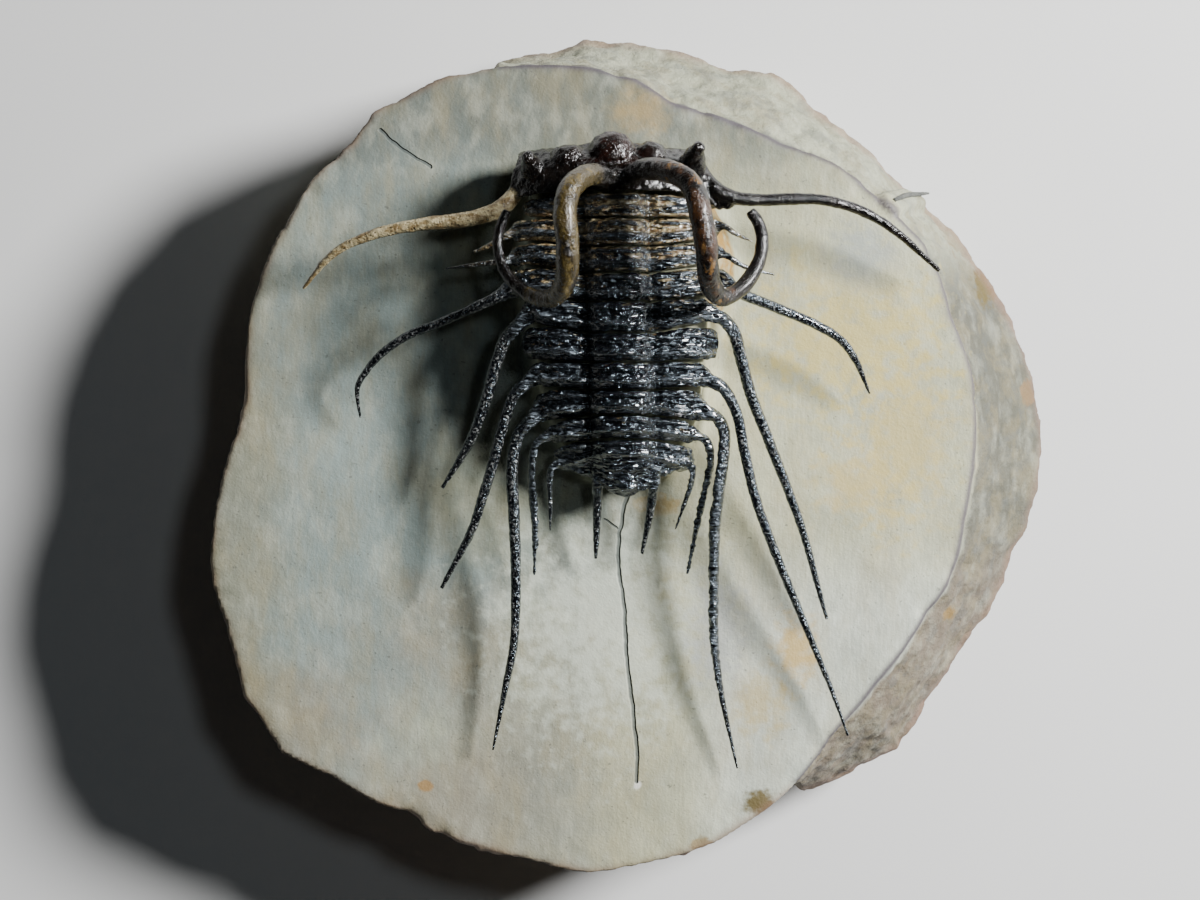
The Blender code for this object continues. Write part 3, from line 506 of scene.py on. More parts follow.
def plate_skin(plate, ahead):
    """Fine section rings of a plate, from the left tip to the right, and its zones."""
    middle, half = axis_x(plate["y"]), float(read_profile(HALF_WIDTH, plate["y"]))
    back = [(middle + share * half, float(ridge_y(plate, middle + share * half)))
            for share in RING_STATIONS]
    line = []
    for side, points in ((-1, plate["left"]), (1, plate["right"])):
        root = points[0] if points else (0.0, 0.0, 0.0, 0.0)
        if not points:
            end = middle + side * half
            edge = float(ridge_y(plate, end))
            points = [(end - side * 1.2, edge, 0.0, 0.0), (end, edge - 0.2, 0.0, 0.0)]
        inner = [(x, y, root[2], root[3]) for x, y in back if (x - middle) * side > 0 or x == middle]
        if side < 0:
            line += list(reversed(points)) + inner
        else:
            line += [point for point in inner if point[0] > middle + 0.01] + list(points)
    route, place = smooth_curve(line, PLATE_STEP)
    count_left = len(plate["left"]) or 2
    count_right = len(plate["right"]) or 2
    x, y = route[:, 0], route[:, 1]
    step = np.hypot(np.diff(x), np.diff(y))
    run = np.concatenate([[0.0], np.cumsum(step)])
    left_root = np.interp(count_left - 1, place, run)
    right_root = np.interp(len(line) - count_right, place, run)
    roundness = np.zeros_like(run)
    for points, beyond in ((plate["left"], left_root - run), (plate["right"], run - right_root)):
        if points:
            share = smooth_share((ROOT_ROUNDNESS + beyond / SPINE_BLEND) / points[0][3])
            roundness = np.maximum(roundness, share)
    roundness = roundness[:, None]
    ahead_x, ahead_y = -np.gradient(y), np.gradient(x)
    length = np.hypot(ahead_x, ahead_y)
    ahead_x, ahead_y = (ahead_x / length)[:, None], (ahead_y / length)[:, None]

    front = front_width(plate, ahead, np.clip(x, middle - half, middle + half))
    outward = np.abs(x - middle) / half
    front = front * (1.0 - (1.0 - END_NARROWING) * smooth_share((outward - 0.6) / 0.15))
    shrink = np.ones_like(x)
    if not plate["left"]:
        from_end = np.minimum(run, run[-1] - run)
        shrink = 0.35 + 0.65 * np.sqrt(1.0 - (1.0 - np.minimum(from_end / 1.6, 1.0)) ** 2)
    front, shrink = front[:, None], shrink[:, None]

    top = np.linspace(0.0, 1.0, PLATE_TOP_POINTS)[None, :]
    under = np.linspace(1.0, 0.0, PLATE_UNDER_POINTS)[None, :]
    reach_top = -REAR_WIDTH + (REAR_WIDTH + front) * top
    reach_under = -REAR_WIDTH + (REAR_WIDTH + front) * under
    middle_share = bell(x - middle, 4.6)[:, None]
    lift_top = section_lift(reach_top, front, middle_share)
    edge_dip = 0.3 * (bell(top, 0.06) + bell(1.0 - top, 0.06))
    lift_top = between(-0.5, lift_top - edge_dip, shrink)
    lift_under = between(-0.5, -PLATE_DEPTH, shrink) + 0.0 * reach_under
    reach = np.hstack([reach_top, reach_under]) * shrink
    lift = np.hstack([lift_top, lift_under])
    flat_x, flat_y = x[:, None] + reach * ahead_x, y[:, None] + reach * ahead_y
    flat_z = back_height(flat_x, flat_y) + lift
    turn = np.radians(np.hstack([190.0 - 200.0 * top, -30.0 - 120.0 * (1.0 - under)]))
    height, radius = route[:, 2:3], np.maximum(route[:, 3:4], 0.1)
    out = radius * np.cos(turn)
    round_x, round_y = x[:, None] + out * ahead_x, y[:, None] + out * ahead_y
    round_z = height + radius * np.sin(turn)
    rings = np.stack([between(flat_x, round_x, roundness), between(flat_y, round_y, roundness),
                      between(flat_z, round_z, roundness)], axis=-1)
    low = np.clip((0.42 - lift) / 0.5, 0.0, 1.0) * (1.0 - roundness)
    return rings, low


def weather_shell(points, directions, seed, spine_share):
    """Moves shell corners out and in: fine ridges across the body, pimples and wear."""
    across = lumps(points, (2.6, 0.3, 0.4), seed) + 0.6 * lumps(points, (1.2, 0.17, 0.3), seed + 5)
    grain = pimples(points, 0.62, seed + 9)
    push = (0.14 * across + 0.10 * lumps(points, (1.2, 0.8, 0.8), seed + 31)) * (1.0 - spine_share)
    push += (0.10 - 0.05 * spine_share) * rough(points, 1.1, seed + 20, 2)
    push += (0.05 + 0.03 * spine_share) * grain
    return points + directions * (push - 0.05 - 0.03 * spine_share)[:, None]


def make_plates(material):
    ahead = None
    for number, plate in enumerate(PLATES, start=1):
        rings, low = plate_skin(plate, ahead)
        piece = make_piece(f"body_plate_{number}", loft(rings))
        points, directions = corners_of(piece)
        middle, half = axis_x(plate["y"]), float(read_profile(HALF_WIDTH, plate["y"]))
        spine_share = smooth_share((np.abs(points[:, 0] - middle) - half) / 2.0)
        points = weather_shell(points, directions, 40 * number, spine_share)
        settle_corners(piece, points, f"thorax_segment_{number}")
        write_zone(piece, "hollow", np.concatenate([low.ravel(), [0.0, 0.0]]))
        write_zone(piece, "bare", bare_shell(points, number))
        write_zone(piece, "spine", spine_share)
        dress(piece, material, "body_shell", f"thorax_segment_{number}")
        ahead = plate


def bare_shell(points, number):
    """Where the dark shell is worn to tan: the front plates' thin spines and some plate ends."""
    x, y = points[:, 0], points[:, 1]
    worn = np.zeros(len(points))
    if number in (2, 3):
        worn = smooth_share((np.abs(x + 2.5) - 12.5) / 3.0) * (0.45 if number == 2 else 0.1)
    if number in (6, 7):
        for end_x in (-16.3, 12.3):
            worn = np.maximum(worn, bell(np.hypot(x - end_x, y - 11.6), 0.9))
    if number in (1, 2):
        arch = np.hypot(x + 2.1, (y - 28.6) * 1.1)
        arches = smooth_share(0.2 + np.sin(6.0 * arch)) * bell(arch - 4.2, 1.3) * (y > 29.6)
        worn = np.maximum(worn, arches)
        worn = np.maximum(worn, 0.9 * bell(x - 2.8, 0.7) * smooth_share((y - 28.0) / 1.5))
    return worn


def make_tail(material):
    rings, low = plate_skin(TAIL, PLATES[-1])
    share = np.linspace(0.0, 1.0, 40)[:, None]
    edge, _ = smooth_curve([(x, y, 0.0) for x, y in TAIL_EDGE], 0.3)
    x, edge_y = edge[:, 0][None, :], edge[:, 1][None, :]
    start = TAIL["y"] - 0.2 + TAIL["sweep"] * smooth_share((np.abs(x + 1.3) / 10.4 - 0.25) / 0.6)
    y = between(start, edge_y, share)
    x = x + 0.0 * share
    rib = 0.22 * bell(share - 0.34, 0.1) + 0.3 * bell(share - 0.86, 0.1)
    spread = np.sin((x + 1.3) * 2.6) * 0.14 * smooth_share(share * 3.0)
    upper = np.stack([x, y, back_height(x, y) + 0.25 * (1.0 - share) - 0.5 * share + rib + spread], -1)
    lower = np.stack([x, y, back_height(x, y) - PLATE_DEPTH + 0.1], -1)
    solids = [loft(rings), closed_sheet(upper, lower)]
    solids += [tube(route, 0.2, 16) for route in TAIL_SPINES]
    solids.append(egg((-1.2, -3.6, 38.6), (2.2, 2.6, 1.5)))
    piece = make_piece("tail_shield", *solids)
    fuse(piece, TAIL_VOXEL, 3)
    points, directions = corners_of(piece)
    spine_share = np.maximum(smooth_share((-5.2 - points[:, 1]) / 1.5),
                             smooth_share((np.abs(points[:, 0] + 1.8) - 9.4) / 0.6)
                             * smooth_share((-2.2 - points[:, 1]) / 0.8))
    points = weather_shell(points, directions, 700, spine_share)
    settle_corners(piece, points, "pygidium")
    write_zone(piece, "hollow", np.zeros(len(points)))
    write_zone(piece, "bare", np.zeros(len(points)))
    write_zone(piece, "spine", spine_share)
    dress(piece, material, "body_shell", "pygidium")


# Head
HORN_LEFT = [
    (-3.0, 36.2, 46.4, 1.3), (-4.6, 36.7, 49.6, 1.45), (-6.5, 36.5, 52.4, 1.55),
    (-8.3, 35.0, 55.0, 1.65), (-9.2, 32.8, 56.6, 1.65), (-9.3, 30.2, 57.1, 1.65),
    (-9.0, 27.4, 57.0, 1.65), (-9.0, 24.8, 56.3, 1.65), (-9.3, 22.4, 54.6, 1.55),
    (-10.6, 20.5, 52.0, 1.4), (-12.8, 20.2, 50.0, 1.2), (-15.3, 21.5, 48.2, 1.0),
    (-17.5, 24.0, 47.0, 0.88), (-18.5, 27.2, 46.3, 0.8), (-18.2, 30.0, 46.0, 0.75),
    (-17.2, 32.3, 46.2, 0.6),
]
HORN_RIGHT = [
    (-0.9, 37.0, 46.6, 1.4), (1.1, 37.5, 49.8, 1.5), (4.3, 37.0, 53.2, 1.6), (6.8, 35.6, 55.4, 1.6),
    (8.1, 33.0, 56.8, 1.6), (8.8, 29.8, 57.2, 1.6), (9.3, 26.8, 56.9, 1.6), (9.5, 24.2, 55.6, 1.55),
    (10.0, 21.9, 53.4, 1.5), (11.4, 20.4, 51.0, 1.35), (13.4, 21.0, 49.4, 1.2),
    (15.5, 23.1, 48.0, 1.1), (17.0, 26.4, 47.0, 1.0), (17.0, 29.8, 46.3, 0.95),
    (15.5, 32.3, 46.2, 0.8),
]
CHEEK_SPINE_LEFT = [
    (-15.6, 36.2, 40.8, 1.0), (-17.0, 34.0, 41.8, 1.2), (-19.4, 32.3, 42.5, 1.2),
    (-23.2, 31.3, 42.8, 1.1), (-28.9, 30.7, 42.2, 0.95), (-33.3, 30.0, 41.6, 0.85),
    (-36.5, 29.1, 40.8, 0.76), (-39.8, 27.8, 39.8, 0.66), (-42.3, 26.0, 38.8, 0.56),
    (-45.7, 22.2, 36.4, 0.32),
]
CHEEK_SPINE_RIGHT = [
    (8.2, 38.2, 41.4, 1.3), (10.0, 36.3, 42.4, 1.25), (12.0, 34.8, 42.9, 1.15), (14.6, 34.1, 42.8, 0.98),
    (18.3, 34.0, 42.4, 0.88), (24.6, 34.2, 41.8, 0.82), (28.8, 33.4, 41.0, 0.77),
    (32.5, 32.0, 40.0, 0.72), (36.5, 29.5, 38.6, 0.62), (42.3, 24.7, 35.6, 0.36),
]
EYE_STALKS = (
    [(7.4, 37.6, 42.0, 2.1), (7.9, 39.0, 44.6, 1.8), (8.3, 40.2, 46.4, 1.25), (8.5, 40.7, 47.2, 0.8)],
    [(-13.4, 37.0, 42.0, 1.9), (-14.0, 38.4, 44.2, 1.5), (-14.3, 39.2, 45.6, 1.0),
     (-14.4, 39.5, 46.2, 0.6)],
)
HEAD_LUMPS = (
    ((-3.1, 40.2, 44.2), (3.3, 3.0, 3.2)),
    ((-9.0, 39.4, 43.6), (2.6, 2.1, 2.7)),
    ((2.2, 39.8, 43.8), (2.3, 2.1, 2.6)),
    ((-2.6, 36.7, 46.8), (4.4, 1.5, 2.2)),
    ((-6.0, 40.0, 40.4), (2.6, 2.0, 2.4)),
    ((0.2, 40.0, 40.4), (2.4, 2.0, 2.4)),
    ((12.5, 33.7, 42.5), (1.3, 1.0, 0.9)),
)


def make_head(material):
    across = np.linspace(-1.0, 1.0, 120)[None, :]
    down = np.linspace(0.0, 1.0, 60)[:, None]
    across, down = across + 0.0 * down, down + 0.0 * across
    solids = [closed_sheet(visor_point(across, down, 0.0), visor_point(across, down, SHELL_DEPTH))]
    solids += [egg(centre, radii, 4) for centre, radii in HEAD_LUMPS]
    for route in (HORN_LEFT, HORN_RIGHT, CHEEK_SPINE_LEFT, CHEEK_SPINE_RIGHT):
        solids.append(tube(route, 0.3, 28))
    solids += [tube(route, 0.3, 24) for route in EYE_STALKS]
    solids += [egg(route[-1][:3], (0.95, 0.95, 0.95)) for route in EYE_STALKS]
    piece = make_piece("head_shield", *solids)
    fuse(piece, HEAD_VOXEL, 4)
    points, directions = corners_of(piece)
    horn = np.maximum(nearness(points, HORN_LEFT[2:], 2.0), nearness(points, HORN_RIGHT[2:], 2.0))
    spine = np.maximum(nearness(points, CHEEK_SPINE_LEFT[1:], 1.2),
                       nearness(points, CHEEK_SPINE_RIGHT[2:], 1.1))
    shell = (1.0 - horn) * (1.0 - spine)
    push = 0.12 * rough(points, 1.6, 11, 3) + 0.22 * shell * (pimples(points, 1.3, 17) - 0.3)
    push += 0.09 * shell * pimples(points, 0.6, 23) + 0.06 * spine * pimples(points, 0.55, 29)
    push += 0.05 * horn * rough(points, (0.5, 0.9, 0.9), 31, 2)
    points = points + directions * (push - 0.06)[:, None]
    settle_corners(piece, points, "cephalon")
    write_zone(piece, "olive", nearness(points, HORN_LEFT[2:11], 2.0))
    write_zone(piece, "rust", nearness(points, HORN_RIGHT[2:10], 2.0))
    write_zone(piece, "bare", nearness(points, CHEEK_SPINE_LEFT[1:], 1.2))
    write_zone(piece, "red", bell(points[:, 0] + 2.6, 5.0) * smooth_share((points[:, 1] - 37.6) / 2.0))
    dress(piece, material, "head_shell", "cephalon")


FRAGMENT = [
    (36.6, 35.0, 29.0, 0.32), (38.6, 36.0, 24.5, 0.44), (40.4, 36.5, 20.3, 0.4), (42.7, 37.0, 16.2, 0.2),
]


def make_fragment(material):
    piece = make_piece("loose_spine", tube(FRAGMENT, 0.18, 24))
    points, directions = corners_of(piece)
    points = weather_shell(points, directions, 900, np.ones(len(points)))
    settle_corners(piece, points, "spine_fragment")
    dress(piece, material, "body_shell", "spine_fragment")


# Stone
def polar(outline):
    """Angles and distances of an outline's points, in order of angle."""
    points = np.array(outline)
    angle = np.arctan2(points[:, 1], points[:, 0])
    order = np.argsort(angle)
    return angle[order], np.hypot(points[:, 0], points[:, 1])[order]


def rim_radius(angle):
    edge_angle, edge_reach = polar(FACE_EDGE)
    return np.interp(angle, edge_angle, edge_reach, period=2 * np.pi)


def waist_radius(angle):
    steep = rim_radius(angle) * STEEP_SHARE
    edge_angle, edge_reach = polar(FLARED_EDGE)
    turn = (angle - edge_angle[0]) % (2 * np.pi)
    flared = np.interp(turn + edge_angle[0], edge_angle, edge_reach)
    end = edge_angle[-1] - edge_angle[0]
    inside = smooth_share(np.minimum(turn / FLARE_FADES[0], (end - turn) / FLARE_FADES[1]))
    return between(steep, np.maximum(steep, flared), inside)


def face_height(x, y):
    crown = FACE_CROWN * (1.0 - (x * x + y * y) / 55.0**2)
    return FACE_HEIGHT + crown + 0.35 * np.sin(0.11 * x + 1.0) * np.cos(0.13 * y - 0.4)


def slab():
    angle = 2 * np.pi * np.arange(480) / 480
    rim, waist = rim_radius(angle), waist_radius(angle)
    wall = (
        (BASE_SHARE * waist, 0.0), (0.975 * waist, 5.0), (waist, WAIST_HEIGHT),
        (between(waist, rim, 0.5), between(WAIST_HEIGHT, FACE_HEIGHT, 0.5)),
    )
    rings = []
    for number, (radius, height) in enumerate(wall):
        lift = 1.2 * np.sin(4.0 * angle + 0.2 * height) if number else 0.0 * angle
        rings.append(np.stack([radius * np.cos(angle), radius * np.sin(angle), height + lift], -1))
    for inward, drop in ((0.0, 0.9), (0.006, 0.25), (0.018, 0.0), (0.12, 0.0), (0.24, 0.0),
                         (0.36, 0.0), (0.5, 0.0), (0.62, 0.0), (0.75, 0.0), (0.85, 0.0), (0.95, 0.0)):
        x, y = rim * (1.0 - inward) * np.cos(angle), rim * (1.0 - inward) * np.sin(angle)
        rings.append(np.stack([x, y, face_height(x, y) - drop], -1))
    return loft(np.array(rings))


def pedestal():
    rings = []
    for y, sunk in PEDESTAL_ROWS:
        half = float(read_profile(HALF_WIDTH, y)) - PEDESTAL_INSET
        middle = axis_x(y)
        bulge = LIT_BULGE * float(smooth_share((y - 17.0) / 6.0))
        across = np.linspace(-half, half, 25)
        height = back_height(middle + across, y) - PLATE_DEPTH - BED_GAP - sunk
        top = [(middle + a, y, h) for a, h in zip(across, height)]
        low = FACE_HEIGHT + 0.6
        left, right = middle - half - PEDESTAL_FOOT, middle + half + PEDESTAL_FOOT + bulge
        wall = between(low, top[-1][2], 0.6)
        rings.append(
            [(left, y, PEDESTAL_ROOT), (left, y, low), (middle - half - 0.3, y, wall)] + top
            + [(middle + half + 0.2 + bulge, y, wall), (right, y, low), (right, y, PEDESTAL_ROOT)]
        )
    return loft(np.array(rings))


def head_core():
    inset = SHELL_DEPTH + BED_GAP
    across = np.linspace(-1.0, 1.0, 40)[None, :]
    down = np.linspace(0.0, 1.0, 24)[:, None]
    upper = visor_point(across + 0.0 * down, down + 0.0 * across, inset)
    lower = upper.copy()
    lower[..., 2] = PEDESTAL_ROOT
    return closed_sheet(upper, lower)


def rest_flat(piece):
    """Turns the underside's many level faces into one."""
    bm = bmesh.new()
    bm.from_mesh(piece.data)
    level = [face for face in bm.faces if all(vert.co.z < 0.02 * MM for vert in face.verts)]
    bmesh.ops.dissolve_faces(bm, faces=level, use_verts=False)
    bm.to_mesh(piece.data)
    bm.free()


def make_stone(material):
    piece = make_piece("limestone_piece", slab(), pedestal(), head_core())
    fuse(piece, STONE_VOXEL, 2)
    points, directions = corners_of(piece)
    x, y, z = points.T
    angle, reach = np.arctan2(y, x), np.hypot(x, y)
    rim = rim_radius(angle)
    foot = smooth_share((z - 0.3) / 1.5)
    wall = smooth_share((0.75 - directions[:, 2]) / 0.35) * smooth_share((30.2 - z) / 1.5)
    seat = nearness(points, FRAGMENT, 1.7)
    wall *= 1.0 - seat
    mound = smooth_share((z - face_height(x, y) - 0.3) / 1.5)
    face = (1.0 - wall) * (1.0 - mound) * smooth_share((z - 27.0) / 2.0)
    edge = bell(reach - rim, 2.2) * smooth_share((z - 24.0) / 3.0)
    push = -wall * foot * (0.7 + 0.9 * rough(points, 7.0, 51, 4) + 0.7 * rough(points, 2.4, 61, 3))
    push -= face * (0.16 * (1.0 + rough(points, 7.0, 71, 3)) + 0.045 * rough(points, 1.3, 81, 2))
    push -= mound * (0.25 + 0.25 * rough(points, 2.2, 91, 3))
    push -= 1.3 * edge * np.maximum(0.0, rough(points, 4.5, 95, 3) - 0.1) * foot
    push += 0.9 * seat
    points = points + directions * push[:, None]
    points[z < 0.3, 2] = 0.0
    settle_corners(piece, points, "matrix")
    flared = smooth_share((waist_radius(angle) - rim - 1.0) / 2.0)
    sway = 0.2 * rough(points, 3.0, 99, 2)
    write_zone(piece, "rim", flared * bell(reach - rim + 0.45 + sway, 0.55) * smooth_share((z - 26.0) / 1.0))
    outline = np.maximum(rim, waist_radius(angle))
    write_zone(piece, "brink", bell(reach - outline + 0.2 + 2.0 * sway, 0.9) * smooth_share((z - 9.0) / 2.0))
    write_zone(piece, "tan", smooth_share((z - 32.5) / 2.0) * smooth_share((x - 9.0) / 2.0)
               * smooth_share((y - 16.0) / 4.0))
    rest_flat(piece)
    dress(piece, material, "limestone", "matrix")


# Material nodes
def put(tree, kind, settings, feeds):
    """A shader node with its settings, fed by other sockets or plain values."""
    made = tree.nodes.new("ShaderNode" + kind)
    for name, value in settings.items():
        setattr(made, name, value)
    for name, value in feeds.items():
        socket = made.inputs[name]
        if isinstance(value, bpy.types.NodeSocket):
            tree.links.new(value, socket)
        else:
            socket.default_value = value
    return made


def maths(tree, operation, first, second=0.0, third=0.0):
    feeds = {0: first, 1: second, 2: third}
    return put(tree, "Math", {"operation": operation}, feeds).outputs[0]


def blend_colours(tree, share, first, second):
    made = put(tree, "Mix", {"data_type": "RGBA"}, {0: share, 6: first, 7: second})
    return made.outputs[2]


def reshape(tree, value, low, high, floor=0.0, ceiling=1.0):
    """Spreads a value from low to high over floor to ceiling, with soft ends."""
    settings = {"interpolation_type": "SMOOTHSTEP"}
    feeds = {"Value": value, 1: low, 2: high, 3: floor, 4: ceiling}
    return put(tree, "MapRange", settings, feeds).outputs[0]


def colour(red, green, blue):
    return (red, green, blue, 1.0)


def new_group(name, inputs, outputs):
    """An empty node group with named sockets, its tree, input node and output node."""
    tree = bpy.data.node_groups.new(name, "ShaderNodeTree")
    for socket, kind, value in inputs:
        made = tree.interface.new_socket(name=socket, in_out="INPUT", socket_type="NodeSocket" + kind)
        if value is not None:
            made.default_value = value
    for socket, kind in outputs:
        tree.interface.new_socket(name=socket, in_out="OUTPUT", socket_type="NodeSocket" + kind)
    return tree, tree.nodes.new("NodeGroupInput"), tree.nodes.new("NodeGroupOutput")


def place_group(tree, group, feeds):
    made = put(tree, "Group", {"node_tree": group}, feeds)
    made.label = group.name
    return made


def mottling_group():
    """Soft patches of one size, from layered noise."""
    tree, given, result = new_group(
        "mottling",
        [("Position", "Vector", None), ("Size", "Float", 1.0), ("Stretch", "Vector", (1.0, 1.0, 1.0)),
         ("Threshold", "Float", 0.5), ("Softness", "Float", 0.1), ("Raggedness", "Float", 0.6)],
        [("Mask", "Float"), ("Noise", "Float")],
    )
    wide = put(tree, "VectorMath", {"operation": "DIVIDE"},
               {0: given.outputs["Position"], 1: given.outputs["Stretch"]})
    scale = maths(tree, "DIVIDE", 1.0, given.outputs["Size"])
    noise = put(tree, "TexNoise", {}, {"Vector": wide.outputs[0], "Scale": scale, "Detail": 5.0,
                                       "Roughness": given.outputs["Raggedness"]})
    low = maths(tree, "SUBTRACT", given.outputs["Threshold"], given.outputs["Softness"])
    high = maths(tree, "ADD", given.outputs["Threshold"], given.outputs["Softness"])
    mask = reshape(tree, noise.outputs[0], low, high)
    tree.links.new(mask, result.inputs["Mask"])
    tree.links.new(noise.outputs[0], result.inputs["Noise"])
    return tree


def grains_group():
    """Small round grains with finer roughness between them."""
    tree, given, result = new_group(
        "grains",
        [("Position", "Vector", None), ("Spacing", "Float", 0.3), ("Roundness", "Float", 0.6)],
        [("Height", "Float"), ("Tops", "Float")],
    )
    scale = maths(tree, "DIVIDE", 1.0, given.outputs["Spacing"])
    cells = put(tree, "TexVoronoi", {}, {"Vector": given.outputs["Position"], "Scale": scale})
    fine = put(tree, "TexNoise", {}, {"Vector": given.outputs["Position"],
                                      "Scale": maths(tree, "MULTIPLY", scale, 2.3), "Detail": 3.0})
    dome = reshape(tree, cells.outputs["Distance"], 0.0, 0.75, 1.0, 0.0)
    weighed = maths(tree, "MULTIPLY", dome, given.outputs["Roundness"])
    height = maths(tree, "ADD", weighed, maths(tree, "MULTIPLY", fine.outputs[0], 0.6))
    tree.links.new(height, result.inputs["Height"])
    tree.links.new(reshape(tree, height, 0.55, 0.85), result.inputs["Tops"])
    return tree


def stain_group():
    """A ragged patch round one place, used for stains and for painted shade."""
    tree, given, result = new_group(
        "stain",
        [("Position", "Vector", None), ("Centre", "Vector", None), ("Reach", "Vector", (3.0, 3.0, 3.0)),
         ("Raggedness", "Float", 0.5), ("Softness", "Float", 0.25)],
        [("Mask", "Float")],
    )
    offset = put(tree, "VectorMath", {"operation": "SUBTRACT"},
                 {0: given.outputs["Position"], 1: given.outputs["Centre"]})
    share = put(tree, "VectorMath", {"operation": "DIVIDE"},
                {0: offset.outputs[0], 1: given.outputs["Reach"]})
    far = put(tree, "VectorMath", {"operation": "LENGTH"}, {0: share.outputs[0]})
    noise = put(tree, "TexNoise", {}, {"Vector": given.outputs["Position"], "Scale": 0.6, "Detail": 4.0})
    push = maths(tree, "MULTIPLY", maths(tree, "SUBTRACT", noise.outputs[0], 0.5),
                 maths(tree, "MULTIPLY", given.outputs["Raggedness"], 3.0))
    near = maths(tree, "SUBTRACT", 0.75, given.outputs["Softness"])
    beyond = maths(tree, "ADD", 0.75, given.outputs["Softness"])
    mask = reshape(tree, maths(tree, "ADD", far.outputs["Value"], push), near, beyond, 1.0, 0.0)
    tree.links.new(mask, result.inputs["Mask"])
    return tree


def crack_group():
    """One straight stretch of a hairline crack in the face, 1 along its middle."""
    tree, given, result = new_group(
        "crack_stretch",
        [("Position", "Vector", None), ("Start", "Vector", None), ("End", "Vector", None),
         ("Width", "Float", 0.2)],
        [("Mask", "Float")],
    )
    run = put(tree, "VectorMath", {"operation": "SUBTRACT"},
              {0: given.outputs["End"], 1: given.outputs["Start"]}).outputs[0]
    offset = put(tree, "VectorMath", {"operation": "SUBTRACT"},
                 {0: given.outputs["Position"], 1: given.outputs["Start"]}).outputs[0]
    along = put(tree, "VectorMath", {"operation": "DOT_PRODUCT"}, {0: offset, 1: run}).outputs["Value"]
    length = put(tree, "VectorMath", {"operation": "DOT_PRODUCT"}, {0: run, 1: run}).outputs["Value"]
    share = put(tree, "Clamp", {}, {"Value": maths(tree, "DIVIDE", along, length)}).outputs[0]
    nearest = put(tree, "VectorMath", {"operation": "SCALE"}, {0: run, "Scale": share}).outputs[0]
    away = put(tree, "VectorMath", {"operation": "DISTANCE"}, {0: offset, 1: nearest}).outputs["Value"]
    half = maths(tree, "MULTIPLY", given.outputs["Width"], 0.5)
    mask = reshape(tree, maths(tree, "DIVIDE", away, half), 0.4, 1.3, 1.0, 0.0)
    tree.links.new(mask, result.inputs["Mask"])
    return tree


def new_material(name, coat):
    """An empty material with its shader, and its positions in millimetres."""
    material = bpy.data.materials.new(name)
    material.use_nodes = True
    tree = material.node_tree
    shader = tree.nodes["Principled BSDF"]
    shader.inputs["Coat Weight"].default_value = coat
    shader.inputs["Coat Roughness"].default_value = 0.16
    place = put(tree, "TexCoord", {}, {}).outputs["Object"]
    position = put(tree, "VectorMath", {"operation": "SCALE"}, {0: place, "Scale": 1.0 / MM}).outputs[0]
    return material, tree, shader, position


def zone(tree, name):
    return put(tree, "Attribute", {"attribute_name": name}, {}).outputs["Fac"]


def raise_bumps(tree, shader, heights):
    """Feeds the shader's normal with bumps laid over each other, each height with its depth."""
    normal = None
    for height, depth in heights:
        feeds = {"Height": height, "Distance": depth * MM, "Strength": 1.0}
        if normal:
            feeds["Normal"] = normal
        normal = put(tree, "Bump", {}, feeds).outputs[0]
    tree.links.new(normal, shader.inputs["Normal"])


CRACK = [
    (-0.9, -6.6), (-1.6, -9.0), (-2.1, -11.8), (-2.2, -14.5), (-2.0, -17.5), (-1.6, -20.5),
    (-1.3, -23.5), (-1.2, -26.5), (-0.9, -29.5), (-0.5, -32.5), (-0.2, -36.0), (0.2, -39.5),
    (0.5, -43.0), (0.4, -46.4),
]
SIDE_CRACKS = [
    [(-4.1, -9.7), (-2.3, -11.1)],
    [(-35.5, 44.8), (-34.0, 43.2), (-31.0, 41.1), (-28.5, 39.7)],
]
STAINS_AND_SHADE = [
    ((51.0, 23.8, 18.5), (2.6, 4.2, 14.0), 0.5, (0.11, 0.078, 0.012), 0.95),
    ((46.5, 30.0, 22.0), (1.6, 2.6, 9.0), 0.6, (0.22, 0.14, 0.05), 0.7),
    ((57.0, 8.0, 14.0), (1.6, 2.6, 6.0), 0.6, (0.22, 0.13, 0.05), 0.7),
    ((17.7, -49.5, 29.0), (3.2, 2.2, 5.0), 0.5, (0.10, 0.07, 0.012), 0.95),
    ((9.6, -55.0, 29.0), (2.2, 1.2, 4.0), 0.7, (0.24, 0.15, 0.04), 0.7),
    ((-29.2, -47.2, 30.0), (1.3, 1.1, 3.0), 0.5, (0.30, 0.17, 0.05), 0.8),
    ((44.8, -23.2, 22.0), (1.6, 1.4, 8.0), 0.5, (0.24, 0.15, 0.045), 0.9),
    ((22.8, -28.0, 30.0), (3.0, 5.4, 5.0), 0.8, (0.52, 0.34, 0.09), 0.8),
    ((18.0, -35.5, 30.0), (4.4, 5.0, 5.0), 0.8, (0.44, 0.33, 0.11), 0.6),
    ((31.5, -5.0, 30.0), (6.5, 5.0, 5.0), 0.9, (0.50, 0.38, 0.12), 0.6),
    ((3.6, -7.6, 30.0), (4.4, 1.8, 5.0), 0.8, (0.36, 0.25, 0.08), 0.7),
    ((30.0, 16.0, 30.0), (13.0, 11.0, 6.0), 1.0, (0.54, 0.44, 0.14), 0.75),
    ((38.0, 1.5, 30.0), (7.0, 12.0, 6.0), 1.0, (0.52, 0.42, 0.15), 0.7),
    ((1.5, 47.5, 30.0), (4.5, 3.5, 6.0), 0.6, (0.36, 0.25, 0.09), 0.6),
    # Painted shade: a blue-grey patch below the right cheek spine, in place of its soft shadow.
    ((32.0, 27.0, 30.0), (6.0, 5.0, 5.0), 0.9, (0.28, 0.32, 0.32), 0.7),
    ((-4.0, -24.0, 30.0), (15.0, 16.0, 6.0), 1.0, (0.56, 0.60, 0.50), 0.65),
    ((12.0, -26.0, 30.0), (4.0, 8.0, 5.0), 1.0, (0.26, 0.27, 0.29), 0.5),
    ((0.6, -46.9, 30.0), (0.7, 0.7, 2.0), 0.3, (0.70, 0.70, 0.62), 0.9),
]


